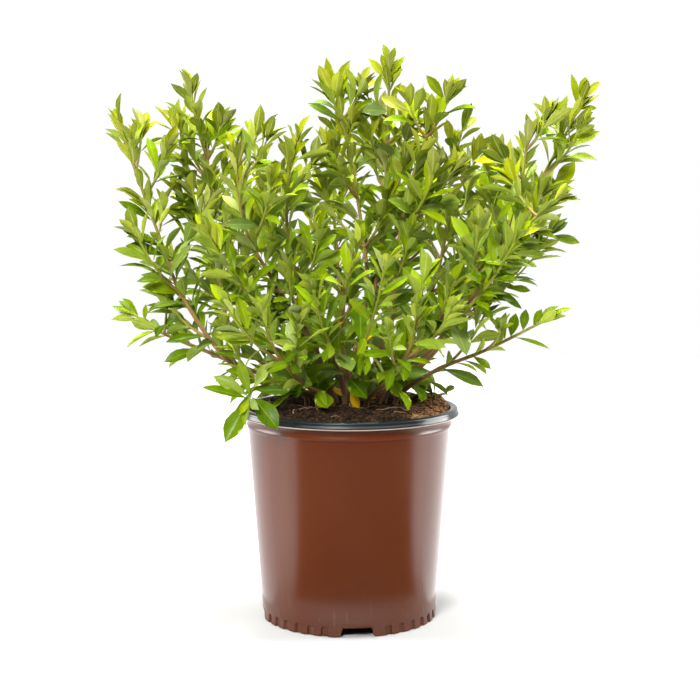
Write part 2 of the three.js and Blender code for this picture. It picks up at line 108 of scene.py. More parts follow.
def spindle(
    first: np.ndarray, rings: np.ndarray, last: np.ndarray, row_finish: np.ndarray | None = None
) -> Surface:
    """A closed spindle: a pole, rings of points, and a pole.

    Vertex 0 is the first pole, vertex 1 + row * columns + column lies on a ring, and the last one
    is the other pole. Faces look outwards where rows run up and columns run anticlockwise.

    Args:
        first: The first pole.
        rings: Ring points, of the shape (rows, columns, 3).
        last: The last pole.
        row_finish: The material of the faces from each ring to the next, one fewer than rings.

    Returns:
        The surface. Its uv runs round the spindle and along it.
    """
    rows, columns, _ = rings.shape
    column = np.arange(columns)
    after = (column + 1) % columns
    top = 1 + (rows - 1) * columns
    lower = np.stack([np.zeros(columns, int), 1 + after, 1 + column], axis=1)
    upper = np.stack([np.full(columns, top + columns), top + column, top + after], axis=1)
    base = 1 + (np.arange(rows - 1) * columns)[:, None]
    quads = [base + column, base + after, base + columns + after, base + columns + column]
    corners = np.concatenate([lower.ravel(), np.stack(quads, axis=-1).ravel(), upper.ravel()])
    sizes = np.repeat([3, 4, 3], [columns, (rows - 1) * columns, columns])
    finish = np.zeros(len(sizes), int)
    if row_finish is not None:
        finish[columns:-columns] = np.repeat(row_finish, columns)
        finish[:columns], finish[-columns:] = row_finish[0], row_finish[-1]
    around, along = np.meshgrid(np.arange(columns) / columns, np.arange(rows) / rows)
    grid = np.stack([around, along], axis=-1).reshape(-1, 2)
    uv = np.concatenate([[[0.5, 0.0]], grid, [[0.5, 1.0]]])
    points = np.concatenate([first[None], rings.reshape(-1, 3), last[None]])
    return Surface(points, corners, sizes, finish, uv)


def revolved(profile: np.ndarray, columns: int) -> np.ndarray:
    """Rings of a lathe shape: each profile point (radius, height) goes once round +Z.

    Args:
        profile: Pairs of radius and height, from the lower pole to the upper one.
        columns: Vertices of a ring.

    Returns:
        Points of the shape (profile, columns, 3).
    """
    angle = np.arange(columns) * (2 * np.pi / columns)
    radius, height = profile[:, 0, None], profile[:, 1, None]
    return np.stack([radius * np.cos(angle), radius * np.sin(angle), height + 0 * angle], axis=-1)


def tube(line: np.ndarray, radii: np.ndarray, sides: int, bud: float) -> Surface:
    """A tapered tube with a point at each end.

    Round each place of the line, `sides` points stand at its radius, in the plane that its
    direction is square to.

    Args:
        line: Places along the middle.
        radii: The radius at each place.
        sides: Points round it.
        bud: How far the points at the ends stand out.

    Returns:
        The tube.
    """
    ahead = unit(np.gradient(line, axis=0))
    deep = unit(Y_AXIS - (ahead @ Y_AXIS)[:, None] * ahead)
    side = np.cross(ahead, deep)
    turn = (np.arange(sides) * (2 * np.pi / sides))[None, :, None]
    ring = np.cos(turn) * deep[:, None] + np.sin(turn) * side[:, None]
    rings = line[:, None] + ring * radii[:, None, None]
    return spindle(line[0] - ahead[0] * bud, rings, line[-1] + ahead[-1] * bud)


class Slot(Enum):
    """The record's material slots."""

    POT = "pot"
    MIX = "potting_mix"
    STEM = "leafy_stem"


def make_piece(
    name: str, surface: Surface, finishes: Sequence[Finish], slot: Slot, node: str, crease: float
) -> None:
    """Writes a surface into a mesh object, at the origin, that rides on the part's body.

    Args:
        name: The piece's name.
        surface: Its shape.
        finishes: Its finishes, in the order that the faces number them.
        slot: Not used.
        node: The CAD node that the piece stands for, or nothing.
        crease: Edges sharper than this, in degrees, stay crisp.
    """
    mesh = bpy.data.meshes.new(name)
    count = len(surface.sizes)
    starts = np.concatenate([[0], np.cumsum(surface.sizes)[:-1]])
    mesh.vertices.add(len(surface.points))
    mesh.vertices.foreach_set("co", (surface.points * MM).astype(np.float32).ravel())
    mesh.loops.add(len(surface.corners))
    mesh.loops.foreach_set("vertex_index", surface.corners.astype(np.int32))
    mesh.polygons.add(count)
    mesh.polygons.foreach_set("loop_start", starts.astype(np.int32))
    mesh.polygons.foreach_set("loop_total", surface.sizes.astype(np.int32))
    mesh.polygons.foreach_set("material_index", surface.finish.astype(np.int32))
    mesh.polygons.foreach_set("use_smooth", np.ones(count, bool))
    layer = mesh.uv_layers.new(name="surface")
    layer.data.foreach_set("uv", surface.uv[surface.corners].astype(np.float32).ravel())
    for trait, values in surface.traits.items():
        attribute = mesh.attributes.new(trait, "FLOAT", "POINT")
        attribute.data.foreach_set("value", values.astype(np.float32))
    mesh.update(calc_edges=True)
    mesh.validate()
    mesh.set_sharp_from_angle(angle=math.radians(crease))
    for finish in finishes:
        mesh.materials.append(finish.material())
    piece = bpy.data.objects.new(name, mesh)
    bpy.context.scene.collection.objects.link(piece)
    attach(piece, BODY)
    if node:
        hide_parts(node)
    LOG.info("%s: %d triangles", name, int((surface.sizes - 2).sum()))


# ---- Numbers ---------------------------------------------------------------------------------


def draw(*keys: int) -> float:
    """A repeatable number from 0 to 1: keys mixed by a multiplication and two shifts each.

    Args:
        keys: Whole numbers.

    Returns:
        The number.
    """
    mask = 0xFFFFFFFF
    mixed = 0x9E3779B1
    for key in keys:
        mixed = ((mixed ^ (key + 1)) * 0x85EBCA6B) & mask
        mixed ^= mixed >> 13
        mixed = (mixed * 0xC2B2AE35) & mask
        mixed ^= mixed >> 16
    return mixed / 4294967296


def spread(amount: float, *keys: int) -> float:
    """A repeatable number from -amount to amount."""
    return amount * (2 * draw(*keys) - 1)


def lerp(start: float, end: float, share: float | np.ndarray) -> float | np.ndarray:
    """The number that lies this share of the way from start to end."""
    return start + (end - start) * share


def smooth_step(value: np.ndarray) -> np.ndarray:
    """0 below 0, 1 above 1, and 3v^2 - 2v^3 between."""
    held = np.clip(value, 0, 1)
    return held * held * (3 - 2 * held)


def unit(vector: np.ndarray) -> np.ndarray:
    """The vectors at length 1."""
    return vector / np.linalg.norm(vector, axis=-1, keepdims=True)


def turned(first: np.ndarray, second: np.ndarray, angle: float | np.ndarray) -> np.ndarray:
    """The direction at an angle from the first one, towards the second."""
    return first * np.cos(angle) + second * np.sin(angle)


def lattice_noise(x: np.ndarray, y: np.ndarray, seed: int) -> np.ndarray:
    """Smooth noise from -1 to 1 on a plane: hashed corner values, blended with smooth steps.

    Args:
        x: Places across, in noise cells.
        y: Places along, in noise cells.
        seed: A whole number that picks the pattern.

    Returns:
        The noise at each place.
    """
    left, low = np.floor(x), np.floor(y)
    corners = []
    for right, far in ((0, 0), (1, 0), (0, 1), (1, 1)):
        mixed = (left + right).astype(np.int64) * 374761393
        mixed = mixed + (low + far).astype(np.int64) * 668265263
        mixed = (mixed + seed * 1274126177) & 0xFFFFFFFF
        mixed = ((mixed ^ (mixed >> 13)) * 1103515245) & 0xFFFFFFFF
        corners.append(((mixed ^ (mixed >> 16)) & 0xFFFF) / 32767.5 - 1)
    u, v = smooth_step(x - left), smooth_step(y - low)
    near = corners[0] * (1 - u) + corners[1] * u
    return near * (1 - v) + (corners[2] * (1 - u) + corners[3] * u) * v


# ---- Materials -------------------------------------------------------------------------------

Ramp = tuple[tuple[float, str], ...]


def linear(code: str) -> tuple[float, ...]:
    """An sRGB hex colour as linear light.

    Each part c gives c / 12.92 up to 0.04045, and ((c + 0.055) / 1.055)^2.4 above.

    Args:
        code: The sign # and six digits.

    Returns:
        Red, green, blue and 1.
    """
    parts = [int(code[at : at + 2], 16) / 255 for at in (1, 3, 5)]
    lit = [part / 12.92 if part <= 0.04045 else ((part + 0.055) / 1.055) ** 2.4 for part in parts]
    return (*lit, 1.0)


def add_node(
    tree: bpy.types.NodeTree,
    kind: str,
    inputs: dict[str | int, Any] | None = None,
    **settings: Any,
) -> bpy.types.Node:
    """Adds a shader node.

    Args:
        tree: The tree that gets it.
        kind: The node's type, without the word that all begin with.
        inputs: What its sockets get, by name or number. A socket is linked, a node is linked by
            its first output, and anything else is set.
        settings: The node's own settings, by name. `stops` gives a colour ramp its colours.

    Returns:
        The node.
    """
    node = tree.nodes.new("ShaderNode" + kind)
    for index, (place, code) in enumerate(settings.pop("stops", ())):
        elements = node.color_ramp.elements
        element = elements[index] if index < 2 else elements.new(place)
        element.position, element.color = place, linear(code)
    for name, setting in settings.items():
        setattr(node, name, setting)
    for name, value in (inputs or {}).items():
        if isinstance(value, bpy.types.Node):
            value = value.outputs[0]
        if isinstance(value, bpy.types.NodeSocket):
            tree.links.new(value, node.inputs[name])
        else:
            node.inputs[name].default_value = value
    return node


@dataclass(frozen=True)
class Finish:
    """What all finishes share: a name, and one Principled shader."""

    name: str

    def dress(self, tree: bpy.types.NodeTree) -> dict[str | int, Any]:
        """Adds the finish's own nodes, and gives what the shader's inputs get."""
        raise NotImplementedError

    def material(self) -> bpy.types.Material:
        """The material, made once.

        Returns:
            The material with this finish's name.
        """
        made = bpy.data.materials.get(self.name)
        if not made:
            made = bpy.data.materials.new(self.name)
            made.use_nodes = True
            tree = made.node_tree
            tree.nodes.clear()
            shader = add_node(tree, "BsdfPrincipled", self.dress(tree))
            add_node(tree, "OutputMaterial", {"Surface": shader})
        return made


@dataclass(frozen=True)
class MouldedPlastic(Finish):
    """Injection-moulded polypropylene: an even colour with a satin skin.

    The mould leaves a faint orange peel about 1.4 mm wide, slow clouds in the gloss where the melt
    cooled, and handling leaves pale scuffs on the lowest 50 mm of the pot.
    """

    colour: str
    cloud_colour: str
    scuff_colour: str
    roughness: float
    peel: float
    shine: float
    cloud_scale: float = 14.0
    scuff_scale: float = 240.0
    scuff_top: float = 0.05
    peel_scale: float = 700.0
    gloss_range: tuple[float, float] = (-0.04, 0.02)

    def dress(self, tree: bpy.types.NodeTree) -> dict[str | int, Any]:
        """Colour clouds, scuffs near the foot, gloss clouds and the mould's orange peel.

        Args:
            tree: The material's tree.

        Returns:
            What the shader's inputs get.
        """
        place = add_node(tree, "TexCoord").outputs["Object"]
        cloudy = {"Vector": place, "Scale": self.cloud_scale, "Detail": 3.0}
        clouds = add_node(tree, "TexNoise", cloudy)
        drawn = add_node(tree, "Mapping", {"Vector": place, "Scale": (1.0, 1.0, 0.16)})
        scuffed = {"Vector": drawn, "Scale": self.scuff_scale, "Detail": 4.0}
        scuffs = add_node(tree, "TexNoise", scuffed)
        height = add_node(tree, "SeparateXYZ", {0: place}).outputs["Z"]
        low = {"Value": height, 1: 0.0, 2: self.scuff_top, 3: 0.5, 4: 0.0}
        foot = add_node(tree, "MapRange", low)
        marks = add_node(tree, "MapRange", {"Value": scuffs, 1: 0.6, 2: 0.8, 3: 0.0, 4: 1.0})
        worn = add_node(tree, "Math", {0: foot, 1: marks}, operation="MULTIPLY")
        colour = clouds
        for share, over in ((clouds, self.cloud_colour), (worn, self.scuff_colour)):
            under = linear(self.colour) if share is clouds else colour
            blend = {0: share, 6: under, 7: linear(over)}
            colour = add_node(tree, "Mix", blend, data_type="RGBA").outputs[2]
        least, most = (self.roughness + change for change in self.gloss_range)
        gloss = add_node(tree, "MapRange", {"Value": clouds, 3: least, 4: most})
        rippled = {"Vector": place, "Scale": self.peel_scale, "Detail": 2.0}
        peel = add_node(tree, "TexNoise", rippled)
        relief = {"Strength": self.peel, "Distance": 0.0002, "Height": peel}
        return {
            "Base Color": colour,
            "Roughness": gloss,
            "Normal": add_node(tree, "Bump", relief),
            "IOR": 1.49,
            "Specular IOR Level": self.shine,
        }


@dataclass(frozen=True)
class LeafSkin(Finish):
    """A gardenia leaf's skin: a waxy cuticle over green tissue.

    The midrib and nine pairs of side veins follow the blade's own uv map. `age` runs from 0 for a
    new leaf to 1 for an old one, and is raised on low leaves as painted shade. `tint` makes each
    leaf a little lighter or darker and some of them greyer, and `faded` is 1 on a leaf that has
    turned yellow.
    """

    ramp: Ramp
    vein_colour: str
    vein_share: float
    faded_colour: str
    roughness: float
    coat: float
    relief: float
    side_veins: float = 9.0
    vein_lean: float = -1.9
    mottle_scale: float = 120.0
    bloom_loss: float = -0.22

    def dress(self, tree: bpy.types.NodeTree) -> dict[str | int, Any]:
        """Age, tint and fading, then veins in colour and relief.

        Each sum is a row: its name, what it does, and numbers or names of sums before it.

        Args:
            tree: The material's tree.

        Returns:
            What the shader's inputs get.
        """
        place = add_node(tree, "TexCoord").outputs["Object"]
        mottled = {"Vector": place, "Scale": self.mottle_scale, "Detail": 2.0}
        mottle = add_node(tree, "TexNoise", mottled)
        blade = add_node(tree, "SeparateXYZ", {0: add_node(tree, "UVMap", uv_map="surface")})
        known = {"u": blade.outputs["X"], "v": blade.outputs["Y"], "mottle": mottle}
        for name in ("age", "tint", "faded"):
            settings = {"attribute_type": "GEOMETRY", "attribute_name": name}
            known[name] = add_node(tree, "Attribute", **settings).outputs["Fac"]
        sums = (
            ("across", "MULTIPLY_ADD", "u", 2.0, -1.0),
            ("across", "ABSOLUTE", "across"),
            # Side veins leave the midrib forwards, nine to a blade.
            ("sweep", "MULTIPLY", "v", self.side_veins),
            ("sweep", "MULTIPLY_ADD", "across", self.vein_lean, "sweep"),
            ("sweep", "MULTIPLY", "sweep", math.pi),
            ("ridge", "SINE", "sweep"),
            ("ridge", "ABSOLUTE", "ridge"),
            ("ridge", "MULTIPLY", "ridge", 3.2),
            ("ridge", "MINIMUM", "ridge", 1.0),
            ("side_vein", "SUBTRACT", 1.0, "ridge"),
            ("midrib", "MULTIPLY", "across", 9.0),
            ("midrib", "MINIMUM", "midrib", 1.0),
            ("midrib", "SUBTRACT", 1.0, "midrib"),
            ("grown", "MULTIPLY", "age", 0.2),
            ("side_vein", "MULTIPLY", "side_vein", "grown"),
            ("veins", "MAXIMUM", "side_vein", "midrib"),
            ("vein_colour", "MULTIPLY", "veins", self.vein_share),
            ("light", "MULTIPLY_ADD", "tint", 0.6, 0.45),
            ("light", "MULTIPLY_ADD", "mottle", 0.5, "light"),
            ("hue", "MULTIPLY_ADD", "tint", -0.03, 0.515),
            # A few leaves have a greyer bloom.
            ("bloom", "MULTIPLY", "tint", 7.0),
            ("bloom", "FRACT", "bloom"),
            ("bloom", "POWER", "bloom", 6.0),
            ("saturation", "MULTIPLY_ADD", "bloom", self.bloom_loss, 1.0),
        )
        for name, operation, *inputs in sums:
            values = {at: known.get(value, value) for at, value in enumerate(inputs)}
            known[name] = add_node(tree, "Math", values, operation=operation)
        grown = add_node(tree, "ValToRGB", {0: known["age"]}, stops=self.ramp)
        shade = {"Hue": known["hue"], "Saturation": known["saturation"], "Value": known["light"]}
        colour = add_node(tree, "HueSaturation", {**shade, "Color": grown})
        for share, over in (("faded", self.faded_colour), ("vein_colour", self.vein_colour)):
            blend = {0: known[share], 6: colour, 7: linear(over)}
            colour = add_node(tree, "Mix", blend, data_type="RGBA").outputs[2]
        relief = {"Strength": self.relief, "Distance": 0.0004, "Height": known["veins"]}
        return {
            "Base Color": colour,
            "Normal": add_node(tree, "Bump", relief, invert=True),
            "Roughness": 0.6,
            "Coat Weight": self.coat,
            "Coat Roughness": self.roughness,
            "Specular IOR Level": 0.0,
        }


@dataclass(frozen=True)
class Bark(Finish):
    """Young woody bark: brown and finely cracked low on a stem, smooth and green near its tip.

    `wood` runs from 1 at the foot to 0 at the tip. The darkest browns, at the foot, are partly
    painted shade.
    """

    ramp: Ramp

    def dress(self, tree: bpy.types.NodeTree) -> dict[str | int, Any]:
        """Wood colour by age, mottled, with a grain of about 1 mm.

        Args:
            tree: The material's tree.

        Returns:
            What the shader's inputs get.
        """
        settings = {"attribute_type": "GEOMETRY", "attribute_name": "wood"}
        wood = add_node(tree, "Attribute", **settings).outputs["Fac"]
        place = add_node(tree, "TexCoord").outputs["Object"]
        drawn = add_node(tree, "Mapping", {"Vector": place, "Scale": (1.0, 1.0, 0.3)})
        grain = add_node(tree, "TexNoise", {"Vector": drawn, "Scale": 900.0, "Detail": 4.0})
        mixed = add_node(tree, "Math", {0: grain, 1: 0.3, 2: wood}, operation="MULTIPLY_ADD")
        shifted = add_node(tree, "Math", {0: mixed, 1: 0.15}, operation="SUBTRACT")
        relief = {"Strength": 0.6, "Distance": 0.0004, "Height": grain}
        return {
            "Base Color": add_node(tree, "ValToRGB", {0: shifted}, stops=self.ramp),
            "Normal": add_node(tree, "Bump", relief),
            "Roughness": 0.62,
            "Specular IOR Level": 0.2,
        }


@dataclass(frozen=True)
class Compost(Finish):
    """Composted bark and peat: matt and dark, with gaps between crumbs of 2 to 4 mm.

    Crumbs are Voronoi cells, each with its own brown, and fine fibres lie over them. Where its
    trait of painted shade is 1, the mix is darkened nearly to black.
    """

    ramp: Ramp
    crumb: float

    def dress(self, tree: bpy.types.NodeTree) -> dict[str | int, Any]:
        """Crumb colours darkened by painted shade, dark gaps between them, and their relief.

        Args:
            tree: The material's tree.

        Returns:
            What the shader's inputs get.
        """
        place = add_node(tree, "TexCoord").outputs["Object"]
        scale = 1.0 / (self.crumb * MM)
        crumbs = add_node(tree, "TexVoronoi", {"Vector": place, "Scale": scale})
        fibres = {"Vector": place, "Scale": scale * 1.6, "Detail": 6.0, "Roughness": 0.7}
        grit = add_node(tree, "TexNoise", fibres)
        cell = add_node(tree, "SeparateXYZ", {0: crumbs.outputs["Color"]}).outputs["X"]
        blend = add_node(tree, "Math", {0: cell, 1: grit}, operation="MULTIPLY")
        colour = add_node(tree, "ValToRGB", {0: blend}, stops=self.ramp)
        # Painted shade: the colour is darkened towards black by the mix's shade trait.
        settings = {"attribute_type": "GEOMETRY", "attribute_name": "damp"}
        damp = add_node(tree, "Attribute", **settings).outputs["Fac"]
        unshaded = add_node(tree, "Math", {0: damp, 1: -0.97, 2: 1.0}, operation="MULTIPLY_ADD")
        gaps = crumbs.outputs["Distance"]
        height = add_node(tree, "Math", {0: grit, 1: gaps}, operation="SUBTRACT")
        relief = {"Strength": 1.0, "Distance": 0.0025, "Height": height}
        return {
            "Base Color": add_node(tree, "HueSaturation", {"Value": unshaded, "Color": colour}),
            "Normal": add_node(tree, "Bump", relief),
            "Roughness": 0.9,
            "Specular IOR Level": 0.12,
        }


@dataclass(frozen=True)
class StudioPaint(Finish):
    """Matt studio paint, rolled on: an even colour with a faint stipple and nothing else."""

    colour: str

    def dress(self, tree: bpy.types.NodeTree) -> dict[str | int, Any]:
        """An even colour with a faint stipple.

        Args:
            tree: The material's tree.

        Returns:
            What the shader's inputs get.
        """
        place = add_node(tree, "TexCoord").outputs["Object"]
        stipple = add_node(tree, "TexNoise", {"Vector": place, "Scale": 300.0, "Detail": 2.0})
        relief = {"Strength": 0.05, "Distance": 0.0005, "Height": stipple}
        return {
            "Base Color": linear(self.colour),
            "Normal": add_node(tree, "Bump", relief),
            "Roughness": 0.9,
            "Specular IOR Level": 0.0,
        }


# Polypropylene coloured through: a warm brown outside, with a satin skin.
BROWN_PLASTIC = MouldedPlastic(
    "moulded_polypropylene_brown", "#461D08", "#4A2009", "#7C5C4A", 0.25, peel=0.12, shine=0.5
)
# The same plastic in black, inside the pot and over its lip. It is glossier, because the lip is
# rolled over a polished ring.
BLACK_PLASTIC = MouldedPlastic(
    "moulded_polypropylene_black", "#111416", "#181B1E", "#4A4F56", 0.2, peel=0.08, shine=0.3
)
# A pale strip at the lip's lower edge: a painted highlight of the light line that the edge
# catches.
PAINTED_HIGHLIGHT_PLASTIC = MouldedPlastic(
    "lip_edge_painted_highlight", "#A39281", "#9B8977", "#B8AC9C", 0.45, peel=0.08, shine=0.4
)
# Upper skin: a thick glossy cuticle, yellow-green when new and deep green when old.
LEAF_UPPER = LeafSkin(
    "gardenia_leaf_upper_skin",
    ((0.0, "#636902"), (0.3, "#677202"), (0.62, "#667A03"), (1.0, "#485E02")),
    vein_colour="#A2B049", vein_share=0.24, faded_colour="#B0820B",
    roughness=0.2, coat=0.1, relief=0.5,
)
# Lower skin: thinner wax and paler tissue, so it is matt and greyish green, with raised veins.
LEAF_LOWER = LeafSkin(
    "gardenia_leaf_lower_skin",
    ((0.0, "#747B1F"), (0.3, "#7B8728"), (0.62, "#849330"), (1.0, "#768A2E")),
    vein_colour="#BFC781", vein_share=0.4, faded_colour="#B39638",
    roughness=0.5, coat=0.05, relief=-0.6,
)
# Bark, grown by the plant: matt brown with fine cracks when old, green and smoother when young.
# Its darkest brown, at the stems' feet, is partly painted shade.
BARK = Bark(
    "gardenia_bark",
    ((0.0, "#727F1C"), (0.36, "#6F6D25"), (0.56, "#755C2E"), (0.78, "#684B2E"), (1.0, "#5B4526")),
)
# Dead rootlets: thin dry bark, pale on the dark mix.
ROOTLET = Bark("pale_rootlet", ((0.0, "#8A6F4E"), (0.5, "#7A5E3C"), (1.0, "#5C4028")))
# Composted bark and peat, sieved: crumbs from nearly black to tan, quite matt.
POTTING_COMPOST = Compost(
    "composted_bark_and_peat",
    ((0.0, "#0D0603"), (0.14, "#29180A"), (0.28, "#634023"), (0.46, "#966A3A"), (0.66, "#BD9566")),
    crumb=2.6,
)
# Shredded pine bark: lighter broken faces with a finer grain.
BARK_CHIP = Compost(
    "pine_bark_chip",
    ((0.0, "#2C180A"), (0.2, "#674226"), (0.42, "#9D754A"), (0.7, "#C5A77F")),
    crumb=1.6,
)
# Matt wall paint on the floor, and black on the cards that darken reflections.
WHITE_PAINT = StudioPaint("studio_white_paint", "#B0B0AE")
BLACK_PAINT = StudioPaint("studio_black_paint", "#050505")


# ---- Pot -------------------------------------------------------------------------------------


@dataclass
class NurseryPot:
    """A round moulded pot with a rolled lip, a neck band, a scalloped foot and drain notches."""

    columns: int = 720
    height: float = 221.5
    wall: float = 1.8
    lip_radius: float = 114.5
    lip_drop: float = 8.5
    mouth: float = 105.0
    neck_radius: float = 106.4
    neck_bottom: float = 200.5
    body_top: float = 105.0
    body_foot: float = 90.8
    foot_height: float = 8.0
    foot_radius: float = 91.5
    foot_ring: float = 5.5
    foot_top: float = 13.0
    channel: float = 9.0
    pad: float = 35.0
    notch_count: int = 4
    notch_turn: float = 5.3
    notch_low: float = 36.0
    notch_high: float = 29.0
    notch_height: float = 9.5
    scallops: tuple[float, ...] = (21.0, 30.6, 40.2, 49.8, 59.4, 69.0)
    scallop_width: float = 6.5
    scallop_height: float = 10.0
    scallop_depth: float = 2.2

    def body_radius(self, height: float | np.ndarray) -> float | np.ndarray:
        """The outside radius of the tapered body at a height."""
        share = (height - self.foot_height) / (self.neck_bottom - self.foot_height)
        return self.body_foot + (self.body_top - self.body_foot) * share

    def profile(self) -> tuple[np.ndarray, np.ndarray]:
        """The pot's section from the middle of its underside, up outside and down inside.

        The roll's outside flares into a bead at its lower edge, and its top is half an ellipse.

        Returns:
            Pairs of radius and height, and the finish of the strip after each but the last.
        """
        brown, black, pale = 0, 1, 2
        pad, bed, foot, radius = self.pad, self.channel, self.foot_radius, self.body_radius
        ring = foot - self.foot_ring
        below = [
            (pad * 0.5, 0.0), (pad - 1, 0.0), (pad, 0.5), (pad + 1.6, bed - 0.8), (pad + 3, bed),
            (60.0, bed), (ring - 3, bed), (ring - 1.6, bed - 0.8), (ring - 0.6, 4.0),
            (ring, 0.6), (ring + 0.7, 0.0), (foot - 2.6, 0.0),
        ]
        neck, edge, top = self.neck_radius, self.neck_bottom, self.height
        low = top - self.lip_drop
        outside = [(foot - 0.8, 0.0), (foot - 0.1, 0.5)]
        outside += [(foot - 0.09 * z, z) for z in np.arange(1.0, 8.0, 0.7)]
        outside += [(radius(z), z) for z in np.arange(8.2, self.foot_top, 0.6)]
        outside += [(radius(z), z) for z in np.linspace(16.0, edge - 1, 14)]
        outside += [
            (self.body_top + 0.05, edge - 0.3), (self.body_top + 0.4, edge),
            (neck - 0.2, edge + 0.3), (neck, edge + 0.9), (neck + 0.1, edge + 3.5),
            (neck - 0.25, edge + 4.2), (neck + 0.2, low - 1.5), (neck + 0.5, low + 2.0),
            (neck + 0.8, top - self.wall - 0.6), (neck + 1.4, top - self.wall),
        ]
        lip, inner = self.lip_radius, self.lip_radius - self.wall
        hollow = [
            (inner - 2.8, top - self.wall), (inner - 2, top - self.wall - 0.8),
            (inner - 1.2, low + 1.2),
        ]
        # The lip's lower edge gets the pale finish: a painted highlight.
        lit_edge = [
            (inner + 0.3, low), (lip - 1.3, low - 0.05), (lip - 1.0, low), (lip - 0.3, low + 0.5),
        ]
        flare = ((0.0, 1.2), (0.1, 2.0), (0.45, 2.9), (0.85, 3.8), (1.15, 4.6), (1.3, 5.3))
        turn = np.radians(np.linspace(12, 176, 18))
        reach = (lip - 1.35 - self.mouth) / 2
        crown = (self.mouth + reach * (1 + np.cos(turn)), top - 2.9 * (1 - np.sin(turn) ** 0.8))
        inside = [(lip - inset, low + rise) for inset, rise in flare] + list(zip(*crown))
        inside += [(self.mouth - 0.1, top - 7), (self.mouth - 0.5, top - 11)]
        inside += [(radius(z) - self.wall, z) for z in np.linspace(edge - 1, bed + 5, 8)]
        floor = bed + self.wall
        wall = radius(floor) - self.wall
        inside += [(wall - 1.5, floor + 0.6), (wall - 4, floor), (40.0, floor)]
        strips = ((below, black), (outside, brown), (hollow, black), (lit_edge, pale), (inside, black))
        rows = [row for strip, _ in strips for row in strip]
        finish = [kind for strip, kind in strips for _ in strip]
        return np.array(rows, float), np.array(finish[:-1])

    def shaped(self, rings: np.ndarray) -> np.ndarray:
        """Cuts the drain notches and presses the scallops into the foot.

        A notch lifts the foot's lower edge: its height falls in a straight line from the short
        upper side of a trapezium to its long lower side. Between that edge and the foot's top the
        rows share the room that is left. A scallop moves the wall inwards under a round arch,
        with an edge 1 mm wide.

        Args:
            rings: The revolved section, of the shape (rows, columns, 3).

        Returns:
            The same rings with notches and scallops.
        """
        x, y, z = rings[..., 0], rings[..., 1], rings[..., 2].copy()
        radius = np.hypot(x, y)
        turn = np.degrees(np.arctan2(y, x)) + 90 - self.notch_turn
        step = 360 / self.notch_count
        from_notch = (turn + step / 2) % step - step / 2
        width = np.radians(np.abs(from_notch)) * self.foot_radius
        slope = (self.notch_low / 2 - width) / ((self.notch_low - self.notch_high) / 2)
        lift = self.notch_height * np.clip(slope, 0, 1)
        foot = radius > self.foot_radius - self.foot_ring - 2.5
        outer = foot & (radius > self.foot_radius - 2.0) & (z < self.foot_top)
        under = foot & ~outer & (z < self.channel)
        z = np.where(outer, lift + (self.foot_top - lift) * z / self.foot_top, z)
        low_lift = np.minimum(lift, self.channel - 0.3)
        z = np.where(under, low_lift + (self.channel - low_lift) * z / self.channel, z)
        half = self.scallop_width / 2
        above = np.clip(z - (self.scallop_height - half), 0, None)
        arch = np.sqrt(np.clip(half**2 - above**2, 0, None))
        press = np.zeros_like(radius)
        for angle in self.scallops:
            away = (turn - angle + step / 2) % step - step / 2
            beside = np.radians(np.abs(away)) * self.foot_radius
            press = np.maximum(press, smooth_step(arch - beside + 0.5) * (arch > 0))
        moved = radius - press * self.scallop_depth * (outer & (z < self.scallop_height))
        share = moved / np.maximum(radius, 1e-9)
        return np.stack([x * share, y * share, z], axis=-1)

    def build(self) -> None:
        """Makes the pot."""
        rows, finish = self.profile()
        rings = self.shaped(revolved(rows, self.columns))
        surface = spindle(np.zeros(3), rings, Z_AXIS * (self.channel + self.wall), finish)
        finishes = (BROWN_PLASTIC, BLACK_PLASTIC, PAINTED_HIGHLIGHT_PLASTIC)
        make_piece("nursery_pot", surface, finishes, Slot.POT, "pot", crease=40)


# ---- Potting mix -----------------------------------------------------------------------------


